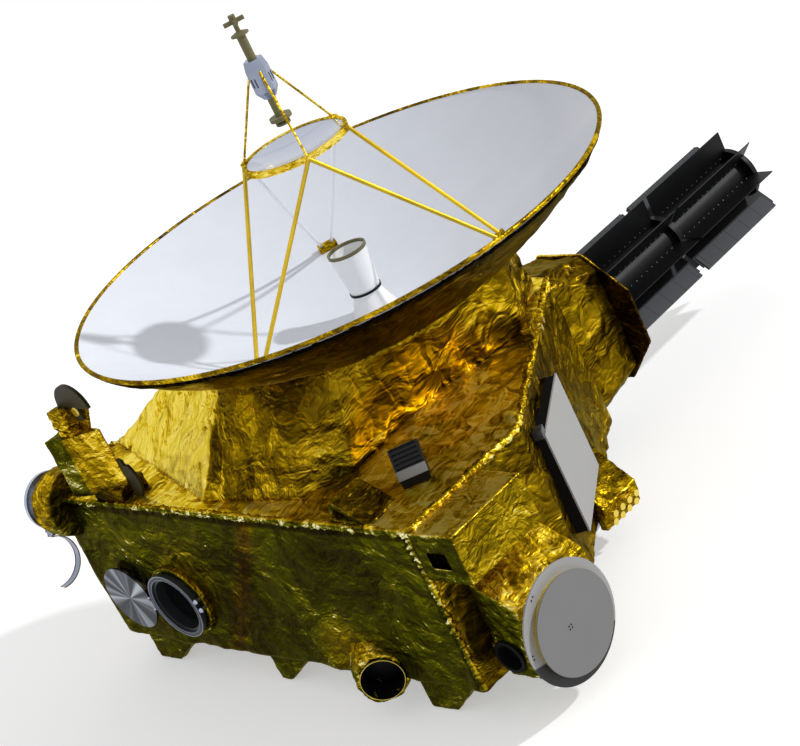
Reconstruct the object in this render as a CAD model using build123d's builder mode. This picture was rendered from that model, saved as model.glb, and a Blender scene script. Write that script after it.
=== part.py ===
"""Outer-planet space probe: dish antenna over a flat blanketed body, with a finned
radioisotope generator at the back and a belt of small instruments round the front.

Frame, in millimetres: origin at the centre of the launch adapter's lower face, +Z along
the dish's boresight, +Y out along the generator, -Y out of the telescope's mouth and +X
out of the side with the round radiator.
"""
import os
from math import atan2, cos, degrees, radians, sin

from build123d import *

os.makedirs("parts", exist_ok=True)

# ---------------------------------------------------------------- clearances
FIT = 0.3  # seat between two pieces of one body
MOVE = 6.0  # running clearance round a cover that swings
PIN_FIT = 0.06  # radial clearance of a hinge pin

# ---------------------------------------------------------------- launch adapter
ring_h = 140.0
ring_out = 480.0
ring_in = 440.0
ring_wall_out = 452.0
ring_flange_t = 12.0
ring_bolt_pcd = 932.0
ring_bolt_r = 4.5
ring_bolts = 24
aft_mast_r = 22.0
aft_cup_r = 34.0
aft_h = 96.0

# ---------------------------------------------------------------- body
bus_h = 660.0
front_y = -922.0
right_x = 873.0
right_edge_y = -330.0
left_front_x = -1222.0
left_corner = (-1270.0, -570.0)
neck_x = 200.0
neck_y = 640.0
bus_corner_r = 24.0
deck_z = ring_h + bus_h

# ---------------------------------------------------------------- dish antenna
dish_r = 1028.0
dish_depth = 372.0
dish_t = 12.0
dish_rim_z = 1442.0
bead_r = 8.5
back_t = 42.0
back_edge_t = 12.0
dish_vertex_z = dish_rim_z - dish_depth

# ---------------------------------------------------------------- blanket tent, deck to dish
tent_top_z = 1260.0
tent_foot = (
    (-1215, -560), (-278, -868), (205, -806), (322, -640), (300, -100),
    (400, 250), (150, 610), (-180, 610), (-860, -60),
)
tent_top_r = 560.0
tent_top_az = (-152, -112, -78, -52, -12, 28, 75, 110, 168)

# ---------------------------------------------------------------- subreflector frame
node_ring_z = 1759.0
node_ring_in = 190.0
node_ring_out = 206.0
node_ring_h = 22.0
node_r = 214.0
node_size = (25.5, 42.0, 24.0)
node_inset = 2.0
foot_r = 560.0
foot_spread = 19.0
foot_lift = 14.0
foot_size = (34.0, 74.0, 10.0)
strut_r = 8.0
strut_grip = 4.0
mast_strut_r = 4.5
mast_foot_r = 210.0
rod_socket = 6.0

# ---------------------------------------------------------------- mast and low-gain antenna
hub_low_z = 1962.0
hub_mid_low = 1992.0
hub_mid_high = 2078.0
hub_high_z = 2114.0
hub_rod_z = 2092.0
hub_rod_r = 22.0
hub_low_r = 24.0
hub_mid_r = 44.0
hub_high_r = 36.0
hub_slot_w = 9.0
hub_slot_h = 34.0
hub_slot_d = 5.0
hub_slot_pitch = 20.0
feed_disc_z = 1882.0
feed_disc_r = 42.0
feed_disc_t = 14.0
feed_stem_r = 16.0
feed_tier_r = 28.0
feed_tier_t = 8.0
feed_tier_drop = 20.0
tip_stem_r = 17.0
tip_disc_r = 34.0
tip_disc_z = 2206.0
tip_disc_t = 9.0
tip_neck_r = 9.0
tip_knob_r = 13.0
tip_bar_z = 2254.0
tip_top_z = 2286.0
tip_cross = 78.0
tip_cross_t = 15.0
tip_cross_az = 61.0

# ---------------------------------------------------------------- feed horn
horn_mouth_z = 1322.0
horn_mouth_r = 74.0
horn_collar_z = 1148.0
horn_collar_r = 56.0
horn_skirt_r = 86.0
horn_wall = 5.0
horn_lip_h = 12.0
horn_lip_out = 2.0
collar_h = 9.0
collar_t = 4.0

# ---------------------------------------------------------------- generator
gen_z = 462.0
shield_apothem = 290.0
shield_z = 446.0
neck_end_x = 172.0
neck_end_low = 170.0
neck_end_high = 722.0
neck_corner = 60.0
shield_t = 12.0
shield_y = 915.0
gen_end_y = 2046.0
housing_r = 84.0
housing_ring_r = 112.0
housing_ring_w = 30.0
end_ring_r = 124.0
end_ring_w = 24.0
end_cap_h = 26.0
end_cap_step = 18.0
fin_tip_r = 205.0
fin_t = 4.0
fin_gap = 26.0
fin_count = 8
panel_reach = ((45, 225.0), (225, 210.0))  # angle down from +X, and tip radius
panel_depth = 74.0
panel_t = 3.0
panel_inset = 12.0

# ---------------------------------------------------------------- telescope
scope_x = -653.0
scope_z = 373.0
scope_lip_r = 141.0
scope_lip_w = 18.0
scope_barrel_r = 131.0
scope_bore_r = 112.0
scope_counter_r = 124.0
scope_counter_d = 10.0
scope_depth = 420.0
scope_proud = 58.0
scope_end_t = 20.0
collar_out_r = 152.0
collar_len = 26.0
door_t = 10.0
door_gap = 14.0
door_back = 8.0
hinge_pin_r = 3.0
hinge_tube_r = 6.5
hinge_tube_h = 46.0
hinge_lug_t = 8.0
door_arm_w = 26.0

# ---------------------------------------------------------------- right-hand instruments
spec_size = (212.0, 360.0, 184.0)
spec_front_y = -925.0
spec_top_z = 796.0
spec_aperture = (92.0, 64.0)
spec_aperture_at = (98.0, 101.0)
spec_recess = 30.0
imager_out = 222.0
imager_front_y = -832.0
imager_back_y = -470.0
imager_low_z = 152.0
imager_high_z = 560.0
imager_slope = 130.0
imager_eye_at = (90.0, 84.0)
imager_eye_r = 64.0
imager_eye_bore = 50.0
imager_eye_proud = 10.0
imager_eye_sunk = 40.0
imager_eye_floor = 6.0
imager_recess = (48.0, 120.0)
cooler_y = -690.0
cooler_z = 290.0
cooler_ring_r = 213.0
cooler_ring_t = 6.0
cooler_band_r = 168.0
cooler_band_in = 46.0
cooler_band_out = 22.0
cooler_disc_r = 178.0
cooler_disc_t = 5.0

# ---------------------------------------------------------------- side radiator plate
plate_along = 331.0
plate_z = 489.0
plate_w = 458.0
plate_h = 407.0
plate_t = 6.0
plate_off = 44.0
frame_in = 4.0
frame_bar = 16.0

# ---------------------------------------------------------------- deck fittings
louvre_at = (692.0, -667.0)
louvre_az = -43.0
louvre_tilt = 34.0
louvre_size = (40.0, 108.0, 116.0)
louvre_slots = 5
louvre_slot_h = 9.0
louvre_slot_d = 12.0
louvre_slot_side = 8.0
louvre_base_h = 32.0
louvre_stand = 30.0
hood_x = 486.0
hood_w = 200.0
hood_h = 90.0
hood_peak = 40.0
hood_len = 150.0
hood_wall = 14.0
hood_front_y = -912.0

# ---------------------------------------------------------------- star tracker
tracker_r = 79.0
tracker_bore = 75.0
tracker_len = 230.0
tracker_well = 130.0
tracker_face = (427.0, -985.0, 179.0)
tracker_az = -45.0

# ---------------------------------------------------------------- particle instrument
box_right_x = -700.0
box_front = ((-936.0, -974.0), (-843.0, -951.0), (box_right_x, -876.0))
box_back = ((box_right_x, -868.0), (-800.0, -864.0), (-936.0, -874.0))
box_low_z = 860.0
box_high_z = 1110.0
box_foot = (-900.0, -720.0, -915.0, -790.0)
head_size = (80.0, 50.0, 105.0)
head_at = (-840.0, -905.0)
upright_low = (-866.0, -757.0)
upright_high = (-806.0, -690.0)
upright_front_y = -876.0
upright_t = 12.0
fan_x = -756.0
fan_z = 1216.0
fan_r = 100.0
fan_t = 14.0
hub_r = 26.0
side_fan_r = 95.0
side_fan_z = 882.0
side_fan_y = -870.0
side_fan_in = 22.0
side_fan_t = 12.0
side_notch_r = 12.0
side_notch_az = 52.0

# ---------------------------------------------------------------- drum instrument
drum_y = -885.0
drum_z = 761.0
drum_r = 132.0
drum_in_x = -1130.0
drum_face_x = -1240.0
groove_r = 90.0
groove_w = 14.0
barrel_r = 98.0
barrel_end_x = -1322.0
barrel_dome_h = 6.0
end_disc_r = 117.0
end_disc_x = -1304.0
cover_near = 22.0
cover_w = 34.0
cover_t = 3.0
cover_arc = 173.0
cover_open = 206.0
pin_inset = 5.0
pin_az = 223.4
drum_pin_r = 3.0
drum_knuckle_r = 7.0
pin_boss_r = 12.0
pin_boss_t = 8.0

# ---------------------------------------------------------------- thrusters and edge brackets
pod_low_z = 112.0
pod_h = 92.0
pod_root_h = 176.0
pod_lead = 24.0
pod_step = 18.0
pod_step_h = 43.0
pod_plan = ((779.0, 0.0), (811.0, 46.0), (672.0, 143.0), (431.0, 0.0))
pod_nozzles = 4
pod_nozzle_z = 66.0
pod_nozzle_rows = 2
pod_row_pitch = 38.0
deck_pod = (410.0, 525.0, -32.0, 8.0)
deck_pod_h = 52.0
deck_pod_pitch = 58.0
nozzle_r = 13.0
nozzle_throat = 4.0
nozzle_len = 34.0
edge_depth = 134.0
edge_long = 90.0
edge_toe = 30.0
edge_spans = ((-1125.0, -995.0, -797.0), (-341.0, -285.0, -95.0), (500.0, 625.0, 790.0))


def facing(x, y, z, azimuth, tilt=0.0):
    """Plane at a point whose normal points to an azimuth from +X, tilted up."""
    a = radians(azimuth)
    t = radians(tilt)
    normal = (cos(a) * cos(t), sin(a) * cos(t), sin(t))
    return Plane(origin=(x, y, z), x_dir=(-sin(a), cos(a), 0), z_dir=normal)


def between(start, end):
    """Plane at start whose normal runs to end, and the distance between them."""
    run = Vector(*end) - Vector(*start)
    return Plane(origin=start, z_dir=run), run.length


def ring_point(radius, azimuth, z):
    """Point on a circle round the boresight."""
    return (radius * cos(radians(azimuth)), radius * sin(radians(azimuth)), z)


def bowl_z(radius):
    """Height of the dish's front surface at a radius."""
    return dish_vertex_z + dish_depth * (radius / dish_r) ** 2


def bowl_curve(radius, drop):
    """Control points of the dish's parabola out to a radius, dropped by a distance."""
    low = dish_vertex_z - drop
    return (0, low), (radius / 2, low), (radius, bowl_z(radius) - drop)


front = Plane.XZ.offset(-front_y)
taper_run = (neck_x - right_x, neck_y - right_edge_y)
taper_az = degrees(atan2(-taper_run[0], taper_run[1]))
taper = facing(right_x, right_edge_y, 0, taper_az)
tracker_plane = facing(*tracker_face, tracker_az)
shield_front = Plane.XZ.offset(-shield_y)

# ================================================================ structure
with BuildPart() as adapter_ring:
    with BuildSketch(Plane.XZ):
        with BuildLine():
            Polyline(
                (ring_in, 0), (ring_out, 0), (ring_out, ring_flange_t),
                (ring_wall_out, ring_flange_t), (ring_wall_out, ring_h - ring_flange_t),
                (ring_out, ring_h - ring_flange_t), (ring_out, ring_h), (ring_in, ring_h),
                close=True,
            )
        make_face()
    revolve(axis=Axis.Z)
    with Locations((0, 0, ring_flange_t)):
        with PolarLocations(ring_bolt_pcd / 2, ring_bolts):
            Hole(ring_bolt_r, depth=ring_flange_t)
adapter_ring.part.label = "adapter_ring"
export_step(adapter_ring.part, "parts/adapter_ring.step")

with BuildPart() as aft_antenna:
    with BuildSketch(Plane.XZ):
        with BuildLine():
            Polyline(
                (0, ring_h), (aft_cup_r, ring_h), (aft_mast_r, ring_h - aft_h / 3),
                (aft_mast_r, ring_h - aft_h / 2), (aft_cup_r, ring_h - aft_h),
                (0, ring_h - aft_h), close=True,
            )
        make_face()
    revolve(axis=Axis.Z)
aft_antenna.part.label = "aft_antenna"
export_step(aft_antenna.part, "parts/aft_antenna.step")

with BuildPart() as bus_body:
    with BuildSketch(Plane.XY.offset(ring_h)):
        with BuildLine():
            Polyline(
                (left_front_x, front_y), (right_x, front_y), (right_x, right_edge_y),
                (neck_x, neck_y), (-neck_x, neck_y), left_corner, close=True,
            )
        make_face()
    extrude(amount=bus_h)
    fillet(bus_body.edges().filter_by(Axis.Z), bus_corner_r)
    with BuildSketch(front):
        with Locations((scope_x, scope_z)):
            Circle(scope_barrel_r + FIT)
    extrude(amount=-(scope_depth + FIT), mode=Mode.SUBTRACT)
    with BuildSketch(tracker_plane):
        Circle(tracker_r + FIT)
    extrude(amount=-(tracker_len + FIT), mode=Mode.SUBTRACT)
    with BuildSketch(Plane.YZ.offset(drum_in_x + FIT)):
        with Locations((drum_y, drum_z)):
            Circle(drum_r + FIT)
    extrude(amount=2 * (drum_face_x - drum_in_x), mode=Mode.SUBTRACT)
bus_body.part.label = "bus_body"
export_step(bus_body.part, "parts/bus_body.step")

# ================================================================ generator
neck_base_x = neck_x - bus_corner_r

with BuildPart() as generator_neck:
    with BuildSketch(Plane.XZ.offset(-neck_y)) as neck_base:
        with Locations((0, ring_h + bus_h / 2)):
            Rectangle(2 * neck_base_x, bus_h)
        chamfer(neck_base.vertices(), neck_corner)
    with BuildSketch(shield_front) as neck_end:
        with Locations((0, (neck_end_low + neck_end_high) / 2)):
            Rectangle(2 * neck_end_x, neck_end_high - neck_end_low)
        chamfer(neck_end.vertices(), neck_corner)
    loft(ruled=True)
generator_neck.part.label = "generator_neck"
export_step(generator_neck.part, "parts/generator_neck.step")

with BuildPart() as generator_shield:
    with BuildSketch(shield_front):
        with Locations((0, shield_z)):
            RegularPolygon(
                shield_apothem, fin_count, major_radius=False, rotation=180 / fin_count
            )
    extrude(amount=-shield_t)
generator_shield.part.label = "generator_shield"
export_step(generator_shield.part, "parts/generator_shield.step")

gen_start_y = shield_y + shield_t
gen_body_end = gen_end_y - end_cap_h
gen_mid_y = (gen_start_y + gen_body_end) / 2
segments = (
    (gen_start_y + housing_ring_w, gen_mid_y - fin_gap / 2),
    (gen_mid_y + fin_gap / 2, gen_body_end),
)
gen_axis = Axis((0, 0, gen_z), (0, 1, 0))


def along_generator(y):
    """Plane across the generator's axis, looking out along it."""
    return Plane(origin=(0, y, gen_z), x_dir=(1, 0, 0), z_dir=(0, 1, 0))


with BuildPart() as generator_body:
    with BuildSketch(Plane.YZ):
        with BuildLine():
            Polyline(
                (gen_start_y, gen_z), (gen_start_y, gen_z + housing_ring_r),
                (gen_start_y + housing_ring_w, gen_z + housing_ring_r),
                (gen_start_y + housing_ring_w, gen_z + housing_r),
                (gen_mid_y - housing_ring_w / 2, gen_z + housing_r),
                (gen_mid_y - housing_ring_w / 2, gen_z + housing_ring_r),
                (gen_mid_y + housing_ring_w / 2, gen_z + housing_ring_r),
                (gen_mid_y + housing_ring_w / 2, gen_z + housing_r),
                (gen_body_end - end_ring_w, gen_z + housing_r),
                (gen_body_end - end_ring_w, gen_z + end_ring_r),
                (gen_body_end, gen_z + end_ring_r), (gen_body_end, gen_z), close=True,
            )
        make_face()
    revolve(axis=gen_axis)
    for seg_start, seg_end in segments:
        with BuildSketch(along_generator(seg_start)):
            with PolarLocations((housing_r - fin_t + fin_tip_r) / 2, fin_count):
                Rectangle(fin_tip_r - housing_r + fin_t, fin_t)
        extrude(amount=seg_end - seg_start)
generator_body.part.label = "generator_body"
export_step(generator_body.part, "parts/generator_body.step")

with BuildPart() as generator_cap:
    with BuildSketch(Plane.YZ):
        with BuildLine():
            Polyline(
                (gen_body_end, gen_z), (gen_body_end, gen_z + end_ring_r - end_cap_step),
                (gen_body_end + end_cap_h / 2, gen_z + end_ring_r - end_cap_step),
                (gen_body_end + end_cap_h / 2, gen_z + housing_r),
                (gen_end_y, gen_z + housing_r - end_cap_step), (gen_end_y, gen_z), close=True,
            )
        make_face()
    revolve(axis=gen_axis)
generator_cap.part.label = "generator_cap"
export_step(generator_cap.part, "parts/generator_cap.step")

# Clip-on heat panels on the two fins that face down to the right and up to the left.
slot_w = fin_t + 2 * FIT
with BuildPart() as fin_panels:
    for seg_start, seg_end in segments:
        with BuildSketch(along_generator(seg_start + panel_inset)):
            for turn, tip_r in panel_reach:
                slot_len = fin_tip_r + FIT - (tip_r - panel_depth)
                with PolarLocations(tip_r - panel_depth / 2, 1, start_angle=turn):
                    Rectangle(panel_depth, slot_w + 2 * panel_t)
                with PolarLocations(fin_tip_r + FIT - slot_len / 2, 1, start_angle=turn):
                    Rectangle(slot_len, slot_w, mode=Mode.SUBTRACT)
        extrude(amount=seg_end - seg_start - 2 * panel_inset)
fin_panels.part.label = "fin_panels"
export_step(fin_panels.part, "parts/fin_panels.step")

# ================================================================ dish antenna
with BuildPart() as dish_reflector:
    with BuildSketch(Plane.XZ):
        with BuildLine():
            Bezier(*bowl_curve(dish_r, 0))
            Line((dish_r, dish_rim_z), (dish_r, dish_rim_z - dish_t))
            Bezier(*bowl_curve(dish_r, dish_t))
            Line((0, dish_vertex_z - dish_t), (0, dish_vertex_z))
        make_face()
    revolve(axis=Axis.Z)
dish_reflector.part.label = "dish_reflector"
export_step(dish_reflector.part, "parts/dish_reflector.step")

back_top = dish_t + FIT
back_lip_z = dish_rim_z - back_top
back_edge_z = back_lip_z - back_edge_t
back_low_z = dish_vertex_z - back_top - back_t

with BuildPart() as dish_back:
    with BuildSketch(Plane.XZ):
        with BuildLine():
            Bezier(*bowl_curve(dish_r, back_top))
            Line((dish_r, back_lip_z), (dish_r, back_edge_z))
            Bezier((dish_r, back_edge_z), (dish_r / 2, back_low_z), (0, back_low_z))
            Line((0, back_low_z), (0, dish_vertex_z - back_top))
        make_face()
    revolve(axis=Axis.Z)
dish_back.part.label = "dish_back"
export_step(dish_back.part, "parts/dish_back.step")

with BuildPart() as dish_rim:
    with BuildSketch(Plane.XZ):
        with Locations((dish_r + FIT + bead_r, dish_rim_z)):
            Circle(bead_r)
    revolve(axis=Axis.Z)
dish_rim.part.label = "dish_rim"
export_step(dish_rim.part, "parts/dish_rim.step")

with BuildPart() as support_blanket:
    with BuildSketch(Plane.XY.offset(deck_z)):
        with BuildLine():
            Polyline(*tent_foot, close=True)
        make_face()
    with BuildSketch(Plane.XY.offset(tent_top_z)):
        with BuildLine():
            Polyline(*[ring_point(tent_top_r, a, 0)[:2] for a in tent_top_az], close=True)
        make_face()
    loft(ruled=True)
    with BuildSketch(Plane.XZ):
        with BuildLine():
            Bezier((0, back_low_z - FIT), (dish_r / 2, back_low_z - FIT), (dish_r, back_edge_z - FIT))
            Polyline(
                (dish_r, back_edge_z - FIT), (dish_r, dish_rim_z), (0, dish_rim_z),
                (0, back_low_z - FIT),
            )
        make_face()
    revolve(axis=Axis.Z, mode=Mode.SUBTRACT)
support_blanket.part.label = "support_blanket"
export_step(support_blanket.part, "parts/support_blanket.step")

# ================================================================ subreflector frame
node_azimuths = (90, 210, 330)
foot_azimuths = (30, 150, 270)
foot_z = bowl_z(foot_r) + foot_lift


def strut_ends(foot_azimuth, side):
    """Foot and node ends of one strut of a pair; side is +1 or -1 round the dish."""
    foot = Vector(*ring_point(foot_r, foot_azimuth, foot_z))
    sideways = Vector(*ring_point(foot_spread * side, foot_azimuth + 90, 0))
    return foot + sideways, Vector(*ring_point(node_r, foot_azimuth + 60 * side, node_ring_z))


strut_lines = [strut_ends(az, side) for az in foot_azimuths for side in (-1, 1)]
rod_foot_z = node_ring_z + node_size[2] / 2 - rod_socket
mast_lines = [
    (
        Vector(*ring_point(mast_foot_r, az, rod_foot_z)),
        Vector(*ring_point(hub_rod_r, az, hub_rod_z)),
    )
    for az in node_azimuths
]

with BuildPart() as antenna_struts:
    for foot_end, node_end in strut_lines:
        strut_plane, strut_len = between(foot_end, node_end)
        with BuildSketch(strut_plane):
            Circle(strut_r)
        extrude(amount=strut_len - strut_grip)
antenna_struts.part.label = "antenna_struts"
export_step(antenna_struts.part, "parts/antenna_struts.step")

with BuildPart() as strut_feet:
    for az in foot_azimuths:
        slope = degrees(atan2(2 * dish_depth * foot_r / dish_r**2, 1))
        a = radians(az)
        s = radians(slope)
        pad = Plane(
            origin=ring_point(foot_r, az, bowl_z(foot_r)),
            x_dir=(cos(a) * cos(s), sin(a) * cos(s), sin(s)),
            z_dir=(-cos(a) * sin(s), -sin(a) * sin(s), cos(s)),
        )
        with BuildSketch(pad):
            Rectangle(foot_size[0], foot_size[1])
        extrude(amount=foot_lift + foot_size[2])
    for foot_end, node_end in strut_lines:
        strut_plane, strut_len = between(foot_end, node_end)
        with BuildSketch(strut_plane.offset(-FIT)):
            Circle(strut_r + FIT)
        extrude(amount=strut_len / 4, mode=Mode.SUBTRACT)
    with BuildSketch(Plane.XZ):
        with BuildLine():
            Bezier(*bowl_curve(dish_r, -FIT))
            Polyline((dish_r, dish_rim_z + FIT), (dish_r, 0), (0, 0), (0, dish_vertex_z + FIT))
        make_face()
    revolve(axis=Axis.Z, mode=Mode.SUBTRACT)
strut_feet.part.label = "strut_feet"
export_step(strut_feet.part, "parts/strut_feet.step")

with BuildPart() as node_ring:
    with BuildSketch(Plane.XY.offset(node_ring_z - node_ring_h / 2)):
        Circle(node_ring_out)
        Circle(node_ring_in, mode=Mode.SUBTRACT)
    extrude(amount=node_ring_h)
    for az in node_azimuths:
        with BuildSketch(facing(*ring_point(node_ring_in + node_inset, az, node_ring_z), az)):
            Rectangle(node_size[1], node_size[2])
        extrude(amount=node_size[0])
    for foot_end, node_end in strut_lines:
        strut_plane, strut_len = between(foot_end, node_end)
        with BuildSketch(strut_plane):
            Circle(strut_r + FIT)
        extrude(amount=strut_len - strut_grip + FIT, mode=Mode.SUBTRACT)
    for base, top in mast_lines:
        strut_plane, strut_len = between(base, top)
        with BuildSketch(strut_plane.offset(-FIT)):
            Circle(mast_strut_r + FIT)
        extrude(amount=strut_len, mode=Mode.SUBTRACT)
node_ring.part.label = "node_ring"
export_step(node_ring.part, "parts/node_ring.step")

# Subreflector below the ring, with the small upward dish in its back.
sub_r = node_ring_in - FIT
sub_low_z = 1722.0
sub_edge_z = 1748.0
sub_top_z = 1766.0
sub_hollow = 34.0

with BuildPart() as subreflector:
    with BuildSketch(Plane.XZ):
        with BuildLine():
            Bezier((0, sub_low_z), (sub_r / 2, sub_low_z), (sub_r, sub_edge_z))
            Line((sub_r, sub_edge_z), (sub_r, sub_top_z))
            Bezier(
                (sub_r, sub_top_z), (sub_r / 2, sub_top_z - sub_hollow),
                (0, sub_top_z - sub_hollow),
            )
            Line((0, sub_top_z - sub_hollow), (0, sub_low_z))
        make_face()
    revolve(axis=Axis.Z)
subreflector.part.label = "subreflector"
export_step(subreflector.part, "parts/subreflector.step")

# ================================================================ mast and low-gain antenna
with BuildPart() as mast_hub:
    with BuildSketch(Plane.XY.offset(hub_low_z)):
        RegularPolygon(hub_low_r, 6)
    with BuildSketch(Plane.XY.offset(hub_mid_low)):
        RegularPolygon(hub_mid_r, 6)
    loft(ruled=True)
    with BuildSketch(Plane.XY.offset(hub_mid_low)):
        RegularPolygon(hub_mid_r, 6)
    extrude(amount=hub_mid_high - hub_mid_low)
    with BuildSketch(Plane.XY.offset(hub_mid_high)):
        RegularPolygon(hub_mid_r, 6)
    with BuildSketch(Plane.XY.offset(hub_high_z)):
        RegularPolygon(hub_high_r, 6)
    loft(ruled=True)
    for base, top in mast_lines:
        strut_plane, strut_len = between(base, top)
        with BuildSketch(strut_plane):
            Circle(mast_strut_r + FIT)
        extrude(amount=strut_len + FIT, mode=Mode.SUBTRACT)
    hub_apothem = hub_mid_r * cos(radians(30))
    for az in node_azimuths:
        spot = ring_point(hub_apothem, az + 60, (hub_mid_low + hub_mid_high) / 2)
        with BuildSketch(facing(*spot, az + 60)):
            with GridLocations(hub_slot_pitch, 0, 2, 1):
                Rectangle(hub_slot_w, hub_slot_h)
        extrude(amount=-hub_slot_d, mode=Mode.SUBTRACT)
mast_hub.part.label = "mast_hub"
export_step(mast_hub.part, "parts/mast_hub.step")

with BuildPart() as mast_struts:
    for base, top in mast_lines:
        strut_plane, strut_len = between(base, top)
        with BuildSketch(strut_plane):
            Circle(mast_strut_r)
        extrude(amount=strut_len)
mast_struts.part.label = "mast_struts"
export_step(mast_struts.part, "parts/mast_struts.step")

feed_low_z = feed_disc_z - feed_disc_t / 2
feed_high_z = feed_disc_z + feed_disc_t / 2
feed_tier_z = feed_low_z - feed_tier_drop

with BuildPart() as low_gain_feed:
    with BuildSketch(Plane.XZ):
        with BuildLine():
            Polyline(
                (0, feed_tier_z), (feed_tier_r, feed_tier_z),
                (feed_tier_r, feed_tier_z + feed_tier_t),
                (feed_stem_r, feed_tier_z + feed_tier_t), (feed_stem_r, feed_low_z),
                (feed_disc_r, feed_low_z), (feed_disc_r, feed_high_z),
                (feed_stem_r, feed_high_z), (feed_stem_r, hub_low_z), (0, hub_low_z), close=True,
            )
        make_face()
    revolve(axis=Axis.Z)
low_gain_feed.part.label = "low_gain_feed"
export_step(low_gain_feed.part, "parts/low_gain_feed.step")

with BuildPart() as mast_tip:
    with BuildSketch(Plane.XZ):
        with BuildLine():
            Polyline(
                (0, hub_high_z), (tip_stem_r, hub_high_z), (tip_stem_r, tip_disc_z),
                (tip_disc_r, tip_disc_z + tip_disc_t / 3),
                (tip_disc_r, tip_disc_z + tip_disc_t), (tip_neck_r, tip_disc_z + 2 * tip_disc_t),
                (tip_neck_r, tip_bar_z), (tip_knob_r, tip_bar_z), (tip_knob_r, tip_top_z),
                (0, tip_top_z), close=True,
            )
        make_face()
    revolve(axis=Axis.Z)
    with BuildSketch(Plane.XY.offset(tip_bar_z)):
        Rectangle(tip_cross, tip_cross_t, rotation=tip_cross_az)
        Rectangle(tip_cross, tip_cross_t, rotation=tip_cross_az + 90)
    extrude(amount=tip_cross_t)
mast_tip.part.label = "mast_tip"
export_step(mast_tip.part, "parts/mast_tip.step")

# ================================================================ feed horn
skirt_z = bowl_z(horn_skirt_r) + FIT

with BuildPart() as feed_horn:
    with BuildSketch(Plane.XZ):
        with BuildLine():
            Polyline(
                (horn_mouth_r - horn_wall, horn_mouth_z), (horn_mouth_r, horn_mouth_z),
                (horn_collar_r, horn_collar_z), (horn_skirt_r, skirt_z), (0, skirt_z),
                (0, horn_collar_z), (horn_collar_r - horn_wall, horn_collar_z), close=True,
            )
        make_face()
    revolve(axis=Axis.Z)
feed_horn.part.label = "feed_horn"
export_step(feed_horn.part, "parts/feed_horn.step")

with BuildPart() as horn_lip:
    with BuildSketch(Plane.XY.offset(horn_mouth_z)):
        Circle(horn_mouth_r + horn_lip_out)
        Circle(horn_mouth_r - horn_wall, mode=Mode.SUBTRACT)
    extrude(amount=horn_lip_h)
horn_lip.part.label = "horn_lip"
export_step(horn_lip.part, "parts/horn_lip.step")

collar_at = horn_collar_z + collar_h
collar_inner = horn_collar_r + (horn_mouth_r - horn_collar_r) * (
    (collar_at + collar_h - horn_collar_z) / (horn_mouth_z - horn_collar_z)
)

with BuildPart() as horn_collar:
    with BuildSketch(Plane.XY.offset(collar_at)):
        Circle(collar_inner + FIT + collar_t)
        Circle(collar_inner + FIT, mode=Mode.SUBTRACT)
    extrude(amount=collar_h)
horn_collar.part.label = "horn_collar"
export_step(horn_collar.part, "parts/horn_collar.step")

# ================================================================ telescope
lip_y = front_y - scope_proud
lip_plane = Plane.XZ.offset(-lip_y)

with BuildPart() as telescope_tube:
    with BuildSketch(lip_plane):
        with Locations((scope_x, scope_z)):
            Circle(scope_barrel_r)
    extrude(amount=-(scope_proud + scope_depth))
    with BuildSketch(lip_plane):
        with Locations((scope_x, scope_z)):
            Circle(scope_lip_r)
    extrude(amount=-scope_lip_w)
    with BuildSketch(lip_plane):
        with Locations((scope_x, scope_z)):
            Circle(scope_bore_r)
    extrude(amount=-(scope_proud + scope_depth - scope_end_t), mode=Mode.SUBTRACT)
    with BuildSketch(lip_plane):
        with Locations((scope_x, scope_z)):
            Circle(scope_counter_r)
    extrude(amount=-scope_counter_d, mode=Mode.SUBTRACT)
telescope_tube.part.label = "telescope_tube"
export_step(telescope_tube.part, "parts/telescope_tube.step")

with BuildPart() as telescope_collar:
    with BuildSketch(front):
        with Locations((scope_x, scope_z)):
            Circle(collar_out_r)
            Circle(scope_barrel_r + FIT, mode=Mode.SUBTRACT)
    extrude(amount=collar_len)
telescope_collar.part.label = "telescope_collar"
export_step(telescope_collar.part, "parts/telescope_collar.step")

# The hinge stands in the gap between the lip and the door that lies open beside it.
door_r = scope_lip_r
door_face_y = lip_y + door_back
hinge_x = scope_x - scope_lip_r - door_gap
hinge_y = (door_face_y + lip_y - MOVE) / 2
door_x = 2 * hinge_x - scope_x
hinge_low = scope_z - hinge_tube_h / 2
hinge_top = scope_z + hinge_tube_h / 2

with BuildPart() as telescope_hinge:
    for level in (hinge_low - FIT - hinge_lug_t, hinge_top + FIT):
        with BuildSketch(Plane.XY.offset(level)):
            with Locations((hinge_x, hinge_y)):
                Circle(hinge_tube_r)
            with Locations((hinge_x, (hinge_y + front_y) / 2)):
                Rectangle(2 * hinge_tube_r, front_y - hinge_y)
        extrude(amount=hinge_lug_t)
    with BuildSketch(Plane.XY.offset(hinge_low - FIT)):
        with Locations((hinge_x, hinge_y)):
            Circle(hinge_pin_r)
    extrude(amount=hinge_tube_h + 2 * FIT)
    with BuildSketch(front):
        with Locations((scope_x, scope_z)):
            Circle(collar_out_r + FIT)
    extrude(amount=collar_len + FIT, mode=Mode.SUBTRACT)
telescope_hinge.part.label = "telescope_hinge"
export_step(telescope_hinge.part, "parts/telescope_hinge.step")

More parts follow.
